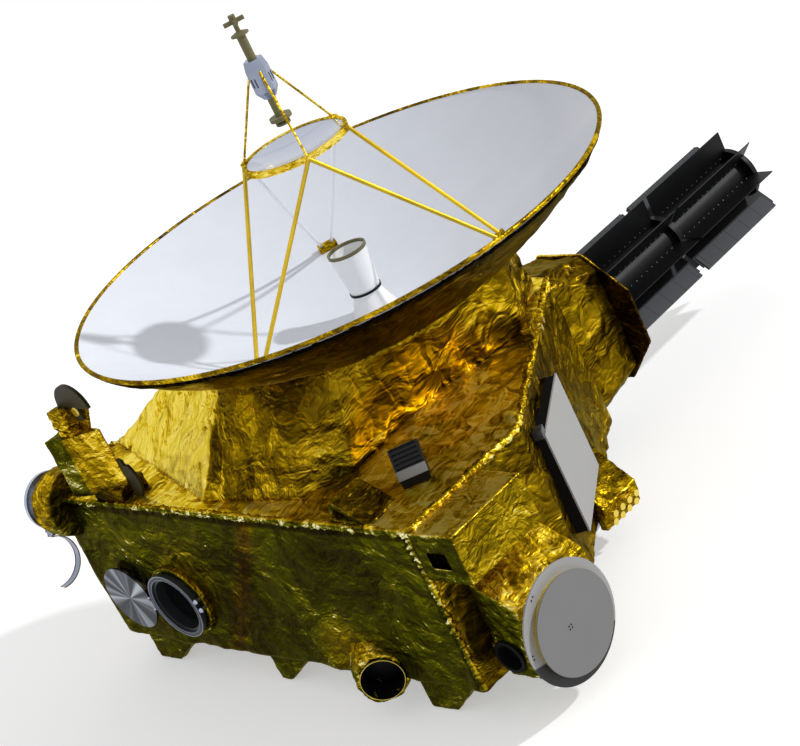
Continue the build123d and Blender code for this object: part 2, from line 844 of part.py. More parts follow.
with BuildPart() as telescope_door:
    with BuildSketch(Plane.XZ.offset(-door_face_y)):
        with Locations((door_x, scope_z)):
            Circle(door_r)
        with Locations(((door_x + hinge_x) / 2, scope_z)):
            Rectangle(hinge_x - door_x, door_arm_w)
    extrude(amount=-door_t)
    with BuildSketch(Plane.XY.offset(hinge_low)):
        with Locations((hinge_x, hinge_y)):
            Circle(hinge_tube_r)
        with Locations((hinge_x, (hinge_y + door_face_y + door_t) / 2)):
            Rectangle(2 * hinge_tube_r, door_face_y + door_t - hinge_y)
    extrude(amount=hinge_tube_h)
    with BuildSketch(Plane.XY.offset(hinge_low)):
        with Locations((hinge_x, hinge_y)):
            Circle(hinge_pin_r + PIN_FIT)
    extrude(amount=hinge_tube_h, mode=Mode.SUBTRACT)
telescope_door.part.label = "telescope_door"
export_step(telescope_door.part, "parts/telescope_door.step")

# ================================================================ spectrometer box
spec_x = right_x + spec_size[0] / 2
spec_low_z = spec_top_z - spec_size[2]

with BuildPart() as spectrometer:
    with BuildSketch(Plane.XZ.offset(-spec_front_y)):
        with Locations((spec_x, (spec_top_z + spec_low_z) / 2)):
            Rectangle(spec_size[0], spec_size[2])
    extrude(amount=-spec_size[1])
    with BuildSketch(Plane.XZ.offset(-spec_front_y)):
        with Locations((right_x + spec_aperture_at[0], spec_top_z - spec_aperture_at[1])):
            Rectangle(*spec_aperture)
    extrude(amount=-spec_recess, mode=Mode.SUBTRACT)
spectrometer.part.label = "spectrometer"
export_step(spectrometer.part, "parts/spectrometer.step")

# ================================================================ imager and its radiators
imager_face = Plane.XZ.offset(-imager_front_y)
eye_at = (right_x + imager_eye_at[0], imager_low_z + imager_eye_at[1])

with BuildPart() as imager_body:
    with BuildSketch(imager_face):
        with BuildLine():
            Polyline(
                (right_x, imager_low_z), (right_x + imager_out, imager_low_z),
                (right_x + imager_out, imager_high_z - imager_slope),
                (right_x, imager_high_z), close=True,
            )
        make_face()
    extrude(amount=-(imager_back_y - imager_front_y))
    with BuildSketch(imager_face):
        with Locations(eye_at):
            Circle(imager_eye_r + FIT)
    extrude(amount=-(imager_eye_sunk + FIT), mode=Mode.SUBTRACT)
    with BuildSketch(imager_face):
        with Locations((right_x, (imager_low_z + imager_high_z) / 2)):
            Rectangle(2 * imager_recess[0], imager_high_z - imager_low_z)
        with Locations(eye_at):
            Circle(imager_eye_r + 2 * MOVE, mode=Mode.SUBTRACT)
    extrude(amount=-imager_recess[1], mode=Mode.SUBTRACT)
imager_body.part.label = "imager_body"
export_step(imager_body.part, "parts/imager_body.step")

with BuildPart() as imager_eye:
    with BuildSketch(imager_face.offset(imager_eye_proud)):
        with Locations(eye_at):
            Circle(imager_eye_r)
    extrude(amount=-(imager_eye_proud + imager_eye_sunk))
    with BuildSketch(imager_face.offset(imager_eye_proud)):
        with Locations(eye_at):
            Circle(imager_eye_bore)
    extrude(
        amount=-(imager_eye_proud + imager_eye_sunk - imager_eye_floor), mode=Mode.SUBTRACT
    )
imager_eye.part.label = "imager_eye"
export_step(imager_eye.part, "parts/imager_eye.step")

cooler_x = right_x + imager_out
ring_x = cooler_x + cooler_band_in

with BuildPart() as cooler_band:
    with BuildSketch(Plane.YZ.offset(cooler_x)):
        with Locations((cooler_y, cooler_z)):
            Circle(cooler_band_r)
    extrude(amount=cooler_band_in)
    with BuildSketch(Plane.YZ.offset(ring_x + cooler_ring_t)):
        with Locations((cooler_y, cooler_z)):
            Circle(cooler_band_r)
    extrude(amount=cooler_band_out)
cooler_band.part.label = "cooler_band"
export_step(cooler_band.part, "parts/cooler_band.step")

with BuildPart() as cooler_ring:
    with BuildSketch(Plane.YZ.offset(ring_x)):
        with Locations((cooler_y, cooler_z)):
            Circle(cooler_ring_r)
    extrude(amount=cooler_ring_t)
cooler_ring.part.label = "cooler_ring"
export_step(cooler_ring.part, "parts/cooler_ring.step")

with BuildPart() as cooler_disc:
    with BuildSketch(Plane.YZ.offset(ring_x + cooler_ring_t + cooler_band_out)):
        with Locations((cooler_y, cooler_z)):
            Circle(cooler_disc_r)
    extrude(amount=cooler_disc_t)
cooler_disc.part.label = "cooler_disc"
export_step(cooler_disc.part, "parts/cooler_disc.step")

# ================================================================ side radiator plate
with BuildPart() as plate_frame:
    with BuildSketch(taper):
        with Locations((plate_along, plate_z)):
            Rectangle(plate_w - 2 * frame_in, plate_h - 2 * frame_in)
            Rectangle(
                plate_w - 2 * (frame_in + frame_bar), plate_h - 2 * (frame_in + frame_bar),
                mode=Mode.SUBTRACT,
            )
    extrude(amount=plate_off)
plate_frame.part.label = "plate_frame"
export_step(plate_frame.part, "parts/plate_frame.step")

with BuildPart() as radiator_plate:
    with BuildSketch(taper.offset(plate_off)):
        with Locations((plate_along, plate_z)):
            Rectangle(plate_w, plate_h)
    extrude(amount=plate_t)
radiator_plate.part.label = "radiator_plate"
export_step(radiator_plate.part, "parts/radiator_plate.step")

# ================================================================ deck fittings
louvre_z = deck_z + louvre_stand
louvre_plane = facing(*louvre_at, louvre_z, louvre_az, louvre_tilt)
louvre_back = louvre_size[0] * cos(radians(louvre_tilt))
louvre_back_z = louvre_z - louvre_size[0] * sin(radians(louvre_tilt))
louvre_foot_plane = Plane(
    origin=(*louvre_at, 0), x_dir=facing(*louvre_at, 0, louvre_az).z_dir,
    z_dir=-facing(*louvre_at, 0, louvre_az).x_dir,
)

with BuildPart() as louvre_foot:
    with BuildSketch(louvre_foot_plane):
        with BuildLine():
            Polyline(
                (0, deck_z), (0, louvre_z), (-louvre_back, louvre_back_z),
                (-louvre_back, deck_z), close=True,
            )
        make_face()
    extrude(amount=louvre_size[1] / 2 - louvre_slot_side / 2, both=True)
louvre_foot.part.label = "louvre_foot"
export_step(louvre_foot.part, "parts/louvre_foot.step")

slot_field = louvre_size[2] - louvre_base_h

with BuildPart() as louvre_box:
    with BuildSketch(louvre_plane):
        with Locations((0, louvre_size[2] / 2)):
            Rectangle(louvre_size[1], louvre_size[2])
    extrude(amount=-louvre_size[0])
    with BuildSketch(louvre_plane):
        with Locations((0, louvre_base_h + slot_field / 2)):
            with GridLocations(0, slot_field / louvre_slots, 1, louvre_slots):
                Rectangle(louvre_size[1] - 2 * louvre_slot_side, louvre_slot_h)
    extrude(amount=-louvre_slot_d, mode=Mode.SUBTRACT)
louvre_box.part.label = "louvre_box"
export_step(louvre_box.part, "parts/louvre_box.step")

hood_face = Plane.XZ.offset(-hood_front_y)


def hood_outline():
    """Corners of the hood's three-cornered mouth."""
    return (hood_x, deck_z), (hood_x + hood_w, deck_z), (hood_x + hood_peak, deck_z + hood_h)


with BuildPart() as deck_hood:
    with BuildSketch(hood_face):
        Polygon(*hood_outline(), align=None)
    extrude(amount=-hood_len)
    with BuildSketch(hood_face):
        Polygon(*hood_outline(), align=None)
        offset(amount=-hood_wall, kind=Kind.INTERSECTION, mode=Mode.REPLACE)
    extrude(amount=-(hood_len - hood_wall), mode=Mode.SUBTRACT)
deck_hood.part.label = "deck_hood"
export_step(deck_hood.part, "parts/deck_hood.step")

# ================================================================ star tracker
with BuildPart() as star_tracker:
    with BuildSketch(tracker_plane):
        Circle(tracker_r)
    extrude(amount=-tracker_len)
    with BuildSketch(tracker_plane):
        Circle(tracker_bore)
    extrude(amount=-tracker_well, mode=Mode.SUBTRACT)
star_tracker.part.label = "star_tracker"
export_step(star_tracker.part, "parts/star_tracker.step")

# ================================================================ particle instrument
with BuildPart() as particle_box:
    with BuildSketch(Plane.XY.offset(box_low_z)):
        with BuildLine():
            Polyline(*box_front, *box_back, close=True)
        make_face()
    extrude(amount=box_high_z - box_low_z)
    foot_low_x, foot_high_x, foot_low_y, foot_high_y = box_foot
    with BuildSketch(Plane.XY.offset(deck_z)):
        with Locations(((foot_low_x + foot_high_x) / 2, (foot_low_y + foot_high_y) / 2)):
            Rectangle(foot_high_x - foot_low_x, foot_high_y - foot_low_y)
    extrude(amount=box_low_z - deck_z)
particle_box.part.label = "particle_box"
export_step(particle_box.part, "parts/particle_box.step")

with BuildPart() as particle_head:
    with BuildSketch(Plane.XY.offset(box_high_z)):
        with Locations(head_at):
            Rectangle(head_size[0], head_size[1])
    extrude(amount=head_size[2])
particle_head.part.label = "particle_head"
export_step(particle_head.part, "parts/particle_head.step")

with BuildPart() as fan_upright:
    with BuildSketch(Plane.XZ.offset(-upright_front_y)):
        with BuildLine():
            Polyline(
                (upright_low[0], box_high_z), (upright_low[1], box_high_z),
                (upright_high[1], fan_z), (upright_high[0], fan_z), close=True,
            )
        make_face()
    extrude(amount=-upright_t)
fan_upright.part.label = "fan_upright"
export_step(fan_upright.part, "parts/fan_upright.step")

with BuildPart() as particle_fan:
    with BuildSketch(Plane.XZ.offset(-upright_front_y)):
        with Locations((fan_x, fan_z)):
            Circle(fan_r)
            with Locations((0, -fan_r)):
                Rectangle(2 * fan_r, 2 * fan_r, mode=Mode.SUBTRACT)
        with Locations((fan_x, fan_z - hub_r)):
            Rectangle(2 * hub_r, 2 * hub_r)
    extrude(amount=fan_t)
particle_fan.part.label = "particle_fan"
export_step(particle_fan.part, "parts/particle_fan.step")

with BuildPart() as side_fan:
    with BuildSketch(Plane.XZ.offset(-side_fan_y)):
        with Locations((box_right_x - side_fan_in, side_fan_z)):
            Circle(side_fan_r)
            with PolarLocations(side_fan_r, 1, start_angle=side_notch_az):
                Circle(side_notch_r, mode=Mode.SUBTRACT)
        with Locations((box_right_x - side_fan_r, side_fan_z), (box_right_x, deck_z - side_fan_r)):
            Rectangle(2 * side_fan_r, 2 * side_fan_r, mode=Mode.SUBTRACT)
    extrude(amount=-side_fan_t)
side_fan.part.label = "side_fan"
export_step(side_fan.part, "parts/side_fan.step")

# ================================================================ drum instrument
cover_r = barrel_r + MOVE
pin_reach = drum_r - pin_inset
pin_y = drum_y + pin_reach * cos(radians(pin_az))
pin_z = drum_z + pin_reach * sin(radians(pin_az))
groove_end_x = drum_face_x - groove_w
cover_x = drum_face_x - cover_near

with BuildPart() as drum_body:
    with BuildSketch(Plane.YZ.offset(drum_in_x)):
        with Locations((drum_y, drum_z)):
            Circle(drum_r)
    extrude(amount=drum_face_x - drum_in_x)
drum_body.part.label = "drum_body"
export_step(drum_body.part, "parts/drum_body.step")

with BuildPart() as drum_aperture:
    with BuildSketch(Plane.YZ.offset(drum_face_x)):
        with Locations((drum_y, drum_z)):
            Circle(groove_r)
    extrude(amount=-groove_w)
drum_aperture.part.label = "drum_aperture"
export_step(drum_aperture.part, "parts/drum_aperture.step")

with BuildPart() as drum_dome:
    with BuildSketch(Plane.XY.offset(drum_z)):
        with BuildLine():
            Polyline(
                (barrel_end_x - barrel_dome_h, drum_y), (groove_end_x, drum_y),
                (groove_end_x, drum_y + barrel_r), (end_disc_x, drum_y + barrel_r),
                (end_disc_x, drum_y + end_disc_r), (barrel_end_x, drum_y + end_disc_r),
            )
            Bezier(
                (barrel_end_x, drum_y + end_disc_r),
                (barrel_end_x - barrel_dome_h, drum_y + end_disc_r / 2),
                (barrel_end_x - barrel_dome_h, drum_y),
            )
        make_face()
    revolve(axis=Axis((0, drum_y, drum_z), (1, 0, 0)))
drum_dome.part.label = "drum_dome"
export_step(drum_dome.part, "parts/drum_dome.step")

# Boss on the drum's face, with the pin that the cover swings on.
with BuildPart() as drum_bracket:
    with BuildSketch(Plane.YZ.offset(drum_face_x)):
        with Locations((pin_y, pin_z)):
            Circle(pin_boss_r)
    extrude(amount=-pin_boss_t)
    with BuildSketch(Plane.YZ.offset(drum_face_x)):
        with Locations((pin_y, pin_z)):
            Circle(drum_pin_r)
    extrude(amount=-(cover_near + cover_w + drum_pin_r))
drum_bracket.part.label = "drum_bracket"
export_step(drum_bracket.part, "parts/drum_bracket.step")

# Band cover, swung open about the pin.
cover_way = radians(pin_az - 180 + cover_open)
cover_plane = Plane(
    origin=(cover_x, pin_y, pin_z), x_dir=(0, cos(cover_way), sin(cover_way)), z_dir=(-1, 0, 0)
)

with BuildPart() as drum_cover:
    with BuildSketch(cover_plane):
        with BuildLine():
            inner = CenterArc((pin_reach, 0), cover_r, 180, cover_arc)
            outer = CenterArc((pin_reach, 0), cover_r + cover_t, 180, cover_arc)
            Line(inner @ 0, outer @ 0)
            Line(inner @ 1, outer @ 1)
        make_face()
        Circle(drum_knuckle_r)
        with Locations(((pin_reach - cover_r) / 2, -drum_knuckle_r / 2)):
            Rectangle(pin_reach - cover_r, drum_knuckle_r)
        Circle(drum_pin_r + PIN_FIT, mode=Mode.SUBTRACT)
    extrude(amount=cover_w)
drum_cover.part.label = "drum_cover"
export_step(drum_cover.part, "parts/drum_cover.step")

# ================================================================ thruster pods
def side_plan(side, z):
    """Level plane at the rear end of a tapered side, +1 right or -1 left.

    Its X runs forward along the side and its Y runs out from it; its normal points up on the
    right and down on the left.
    """
    corner = (right_x, right_edge_y) if side > 0 else left_corner
    rear = (side * neck_x, neck_y)
    return Plane(
        origin=(*rear, z), x_dir=(corner[0] - rear[0], corner[1] - rear[1], 0), z_dir=(0, 0, side)
    )


def pod_face(side):
    """Plane and length of a pod's nozzle face."""
    low = side_plan(side, pod_low_z)
    start, end = (low.from_local_coords((x, y, 0)) for x, y in pod_plan[1:3])
    run = end - start
    return Plane(
        origin=(start + end) / 2, x_dir=run, z_dir=run.cross(Vector(0, 0, side))
    ), run.length


def nozzle_rows():
    """Plane, count and pitch of each row of thruster nozzles."""
    for side in (1, -1):
        face, face_len = pod_face(side)
        for row in range(pod_nozzle_rows):
            origin = face.origin + Vector(0, 0, pod_nozzle_z - row * pod_row_pitch)
            base = Plane(origin=origin, x_dir=face.x_dir, z_dir=face.z_dir)
            yield base.offset(-row * pod_step), pod_nozzles, face_len / pod_nozzles
        high = side_plan(side, deck_z + deck_pod_h / 2)
        middle = high.from_local_coords(((deck_pod[0] + deck_pod[1]) / 2, deck_pod[3], 0))
        yield Plane(origin=middle, x_dir=high.x_dir, z_dir=high.y_dir), 2, deck_pod_pitch


with BuildPart() as thruster_pods:
    for side in (1, -1):
        plan = side_plan(side, pod_low_z)
        root_from, root_to = (plan.from_local_coords((pod_plan[i][0], 0, 0)) for i in (0, 3))
        root_run = root_to - root_from
        root = Plane(
            origin=(root_from + root_to) / 2 + Vector(0, 0, pod_root_h / 2), x_dir=root_run,
            z_dir=plan.y_dir,
        )
        face, face_len = pod_face(side)
        with BuildSketch(root):
            Rectangle(root_run.length, pod_root_h)
        with BuildSketch(
            Plane(origin=face.origin + Vector(0, 0, pod_h / 2), x_dir=face.x_dir, z_dir=face.z_dir)
        ):
            with Locations((pod_lead / 2, 0)):
                Rectangle(face_len + pod_lead, pod_h)
        loft(ruled=True)
        step_mid = face.origin + Vector(0, 0, pod_step_h / 2)
        with BuildSketch(Plane(origin=step_mid, x_dir=face.x_dir, z_dir=face.z_dir)):
            Rectangle(2 * face_len, pod_step_h)
        extrude(amount=-pod_step, mode=Mode.SUBTRACT)
        with BuildSketch(side_plan(side, deck_z)):
            with Locations(((deck_pod[0] + deck_pod[1]) / 2, (deck_pod[2] + deck_pod[3]) / 2)):
                Rectangle(deck_pod[1] - deck_pod[0], deck_pod[3] - deck_pod[2])
        extrude(amount=side * deck_pod_h)
    add(support_blanket.part, mode=Mode.SUBTRACT)
thruster_pods.part.label = "thruster_pods"
export_step(thruster_pods.part, "parts/thruster_pods.step")

with BuildPart() as thruster_nozzles:
    for base, count, pitch in nozzle_rows():
        for spot in GridLocations(pitch, 0, count, 1).local_locations:
            throat = Plane(base.location * spot)
            with BuildSketch(throat):
                Circle(nozzle_throat)
            with BuildSketch(throat.offset(nozzle_len)):
                Circle(nozzle_r)
            loft()
thruster_nozzles.part.label = "thruster_nozzles"
export_step(thruster_nozzles.part, "parts/thruster_nozzles.step")

# ================================================================ lower edge brackets
edge_y = front_y + bus_corner_r

with BuildPart() as edge_brackets:
    for start_x, end_x, root_x in edge_spans:
        with BuildSketch(Plane.XY.offset(ring_h)):
            with Locations(((start_x + root_x) / 2, edge_y + edge_long / 2)):
                Rectangle(root_x - start_x, edge_long)
        with BuildSketch(Plane.XY.offset(ring_h - edge_depth)):
            with Locations(((start_x + end_x) / 2, edge_y + edge_toe / 2)):
                Rectangle(end_x - start_x, edge_toe)
        loft(ruled=True)
edge_brackets.part.label = "edge_brackets"
export_step(edge_brackets.part, "parts/edge_brackets.step")
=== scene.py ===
"""Looks of a space probe: film blankets, painted dish, finned generator and instruments.

Each sub-assembly is a class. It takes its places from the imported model's nodes, dresses those
nodes, and adds the wrinkled film and the small pieces that the solid model leaves out.
"""

import logging
import math
import random
from dataclasses import dataclass, field
from enum import Enum
from typing import Callable, Iterable, Optional, Sequence, Union

import bmesh
import bpy
import numpy as np
from mathutils import Matrix, Vector, noise


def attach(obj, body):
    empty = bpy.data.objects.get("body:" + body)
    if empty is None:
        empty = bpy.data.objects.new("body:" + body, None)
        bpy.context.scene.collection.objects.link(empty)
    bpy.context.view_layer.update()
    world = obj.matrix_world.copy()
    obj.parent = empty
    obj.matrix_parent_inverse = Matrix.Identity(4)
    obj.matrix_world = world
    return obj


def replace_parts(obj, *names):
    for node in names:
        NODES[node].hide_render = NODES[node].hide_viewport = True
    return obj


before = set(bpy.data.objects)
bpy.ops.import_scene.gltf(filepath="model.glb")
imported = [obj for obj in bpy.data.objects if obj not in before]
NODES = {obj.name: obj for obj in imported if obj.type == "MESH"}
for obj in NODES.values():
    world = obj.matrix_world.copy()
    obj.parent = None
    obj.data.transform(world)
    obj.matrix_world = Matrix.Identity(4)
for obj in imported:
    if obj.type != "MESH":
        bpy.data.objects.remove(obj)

LOG = logging.getLogger("probe")
MM = 0.001
PROBE = "probe"
SMOOTH_ANGLE = math.radians(32)

Colour = tuple[float, float, float]
Number = Union[int, float]


def shown(red: int, green: int, blue: int) -> Colour:
    """Linear colour of a display colour.

    Args:
        red: Display red, 0 to 255.
        green: Display green, 0 to 255.
        blue: Display blue, 0 to 255.

    Returns:
        The scene-linear colour.
    """
    return tuple(((c / 255 + 0.055) / 1.055) ** 2.4 if c > 10 else c / 255 / 12.92
                 for c in (red, green, blue))


class Wire:
    """A socket's value, on which ordinary operators add Math nodes."""

    def __init__(self, shader: "Shader", socket: bpy.types.NodeSocket) -> None:
        """Wraps a socket of a shader."""
        self.shader = shader
        self.socket = socket

    def _math(self, operation: str, *values: Union["Wire", Number]) -> "Wire":
        """Adds one Math node.

        Args:
            operation: The Math node's operation.
            values: Its inputs, in order.

        Returns:
            The node's value.
        """
        settings = {"operation": operation}
        return self.shader.node("ShaderNodeMath", settings, dict(enumerate(values)))["Value"]

    def __add__(self, other: Union["Wire", Number]) -> "Wire":
        """Sum."""
        return self._math("ADD", self, other)

    __radd__ = __add__

    def __sub__(self, other: Union["Wire", Number]) -> "Wire":
        """Difference."""
        return self._math("SUBTRACT", self, other)

    def __rsub__(self, other: Union["Wire", Number]) -> "Wire":
        """Difference from a number."""
        return self._math("SUBTRACT", other, self)

    def __mul__(self, other: Union["Wire", Number]) -> "Wire":
        """Product."""
        return self._math("MULTIPLY", self, other)

    __rmul__ = __mul__

    def __truediv__(self, other: Union["Wire", Number]) -> "Wire":
        """Quotient."""
        return self._math("DIVIDE", self, other)

    def __pow__(self, other: Union["Wire", Number]) -> "Wire":
        """Power."""
        return self._math("POWER", self, other)

    def __gt__(self, other: Union["Wire", Number]) -> "Wire":
        """1 where this is the greater, or else 0."""
        return self._math("GREATER_THAN", self, other)

    def __mod__(self, other: Union["Wire", Number]) -> "Wire":
        """Remainder that stays positive."""
        return self._math("FLOORED_MODULO", self, other)

    def clamp(self, low: Number = 0.0, high: Number = 1.0) -> "Wire":
        """This value kept between two limits."""
        return self._math("MINIMUM", self._math("MAXIMUM", self, low), high)

    def top(self, other: Union["Wire", Number]) -> "Wire":
        """The greater of the two."""
        return self._math("MAXIMUM", self, other)

    def arc(self, other: Union["Wire", Number]) -> "Wire":
        """Angle of the point (other, this), in radians."""
        return self._math("ARCTAN2", self, other)

    def step(self, low: Number, high: Number) -> "Wire":
        """A smooth rise from 0 at low to 1 at high."""
        settings = {"interpolation_type": "SMOOTHSTEP"}
        values = {"Value": self, "From Min": low, "From Max": high}
        return self.shader.node("ShaderNodeMapRange", settings, values)["Result"]


class Outputs:
    """A node's outputs by name, as wires."""

    def __init__(self, shader: "Shader", node: bpy.types.Node) -> None:
        """Wraps a node of a shader."""
        self.shader = shader
        self.node = node

    def __getitem__(self, name: Union[str, int]) -> Wire:
        """The wire of one output; of outputs with one name, the one in use."""
        if isinstance(name, int):
            return Wire(self.shader, self.node.outputs[name])
        live = [s for s in self.node.outputs if s.name == name and s.enabled]
        return Wire(self.shader, live[0])


class Shader:
    """A material in the making, round one Principled shader."""

    def __init__(self, name: str) -> None:
        """Starts a material with the given name."""
        self.material = bpy.data.materials.new(name)
        self.material.use_nodes = True
        self.tree = self.material.node_tree
        self.bsdf = self.tree.nodes["Principled BSDF"]
        self.place = self.node("ShaderNodeTexCoord", {}, {})["Object"]

    def node(self, kind: str, settings: dict, values: dict) -> Outputs:
        """Adds one node.

        Args:
            kind: The node's type.
            settings: Its own settings; "stops" fills a colour ramp.
            values: Its inputs by name or number, as wires or plain values.

        Returns:
            The node's outputs.
        """
        made = self.tree.nodes.new(kind)
        for key, value in settings.items():
            if key == "stops":
                ramp = made.color_ramp
                while len(ramp.elements) < len(value):
                    ramp.elements.new(0.5)
                for element, (at, colour) in zip(ramp.elements, value):
                    element.position = at
                    element.color = (*colour, 1.0)
            else:
                setattr(made, key, value)
        for key, value in values.items():
            if isinstance(key, int):
                socket = made.inputs[key]
            else:
                socket = [s for s in made.inputs if s.name == key and s.enabled][0]
            if isinstance(value, Wire):
                self.tree.links.new(value.socket, socket)
            elif isinstance(value, tuple) and len(value) == 3 and socket.type == "RGBA":
                socket.default_value = (*value, 1.0)
            else:
                socket.default_value = value
        return Outputs(self, made)

    def axes(self, wire: Optional[Wire] = None) -> tuple[Wire, Wire, Wire]:
        """The three parts of a vector, by default of the place on the piece."""
        split = self.node("ShaderNodeSeparateXYZ", {}, {"Vector": wire or self.place})
        return split["X"], split["Y"], split["Z"]

    def mapped(self, scale: Sequence[float] = (1, 1, 1), turn: Sequence[float] = (0, 0, 0),
               shift: Sequence[float] = (0, 0, 0), wire: Optional[Wire] = None) -> Wire:
        """The place on the piece, moved, turned and stretched.

        Args:
            scale: Stretch along each axis.
            turn: Turn about each axis, in degrees.
            shift: Move along each axis, in metres.
            wire: Another vector to start from.

        Returns:
            The changed vector.
        """
        values = {"Vector": wire or self.place, "Location": tuple(shift),
                  "Rotation": tuple(math.radians(a) for a in turn), "Scale": tuple(scale)}
        return self.node("ShaderNodeMapping", {"vector_type": "POINT"}, values)["Vector"]

    def grain(self, scale: Number, detail: Number = 4.0, rough: Number = 0.55,
              wire: Optional[Wire] = None, warp: Number = 0.0) -> Wire:
        """Cloudy noise from 0 to 1.

        Args:
            scale: Clouds a metre.
            detail: Octaves.
            rough: Strength of the fine octaves.
            wire: The vector to sample, by default the place on the piece.
            warp: Distortion.

        Returns:
            The noise.
        """
        values = {"Vector": wire or self.place, "Scale": scale, "Detail": detail,
                  "Roughness": rough, "Distortion": warp}
        return self.node("ShaderNodeTexNoise", {}, values)["Fac"]

    def ramp(self, wire: Wire, stops: Sequence[tuple[float, Colour]]) -> Wire:
        """The colours of a ramp by a value."""
        return self.node("ShaderNodeValToRGB", {"stops": stops}, {"Fac": wire})["Color"]

    def blend(self, amount: Union[Wire, Number], low: Union[Wire, Colour],
              high: Union[Wire, Colour], kind: str = "MIX") -> Wire:
        """Mixes two colours.

        Args:
            amount: 0 gives low and 1 gives high.
            low: First colour.
            high: Second colour.
            kind: Blend type.

        Returns:
            The mixed colour.
        """
        settings = {"data_type": "RGBA", "blend_type": kind}
        mixed = self.node("ShaderNodeMix", settings, {})
        rgba = [s for s in mixed.node.inputs if s.type == "RGBA"]
        for socket, value in ((mixed.node.inputs[0], amount), (rgba[0], low), (rgba[1], high)):
            if isinstance(value, Wire):
                self.tree.links.new(value.socket, socket)
            else:
                socket.default_value = (*value, 1.0) if isinstance(value, tuple) else value
        return mixed["Result"]

    def bump(self, height: Wire, depth: Number, strength: Number = 1.0) -> None:
        """Feeds a height to the shader's normal.

        Args:
            height: Height from 0 to 1.
            depth: Depth of a whole step, in metres.
            strength: Strength of the effect.
        """
        values = {"Height": height, "Distance": depth, "Strength": strength}
        made = self.node("ShaderNodeBump", {}, values)
        self.feed({"Normal": made["Normal"]})

    def feed(self, values: dict) -> None:
        """Sets or links inputs of the Principled shader."""
        for key, value in values.items():
            socket = self.bsdf.inputs[key]
            if isinstance(value, Wire):
                self.tree.links.new(value.socket, socket)
            elif isinstance(value, tuple):
                socket.default_value = (*value, 1.0)
            else:
                socket.default_value = value


# Film blankets ----------------------------------------------------------------------------

AMBER = ((0.0, shown(20, 12, 2)), (0.25, shown(60, 43, 3)), (0.5, shown(112, 88, 8)),
         (0.66, shown(158, 127, 13)), (0.78, shown(208, 168, 22)), (0.9, shown(242, 208, 58)),
         (1.0, shown(255, 232, 116)))
# The next ramp is the film in painted shade, blended in by the "shade" attribute.
SHADED_OLIVE = ((0.0, shown(5, 5, 2)), (0.25, shown(26, 26, 4)), (0.5, shown(51, 54, 7)),
         (0.66, shown(70, 73, 9)), (0.8, shown(100, 95, 14)), (0.91, shown(146, 138, 40)),
         (1.0, shown(238, 232, 180)))
# The next ramp is a darker copy of the film: painted shade for the dish's back.
DUSK = ((0.0, shown(8, 6, 3)), (0.3, shown(40, 28, 3)), (0.5, shown(84, 60, 4)),
        (0.72, shown(128, 98, 7)), (0.88, shown(184, 148, 24)), (1.0, shown(240, 214, 110)))
# Way of the painted light: folds and creases that face it are painted brighter.
PAINTED_LIGHT_WAY = np.array((0.34, 0.22, 0.91))


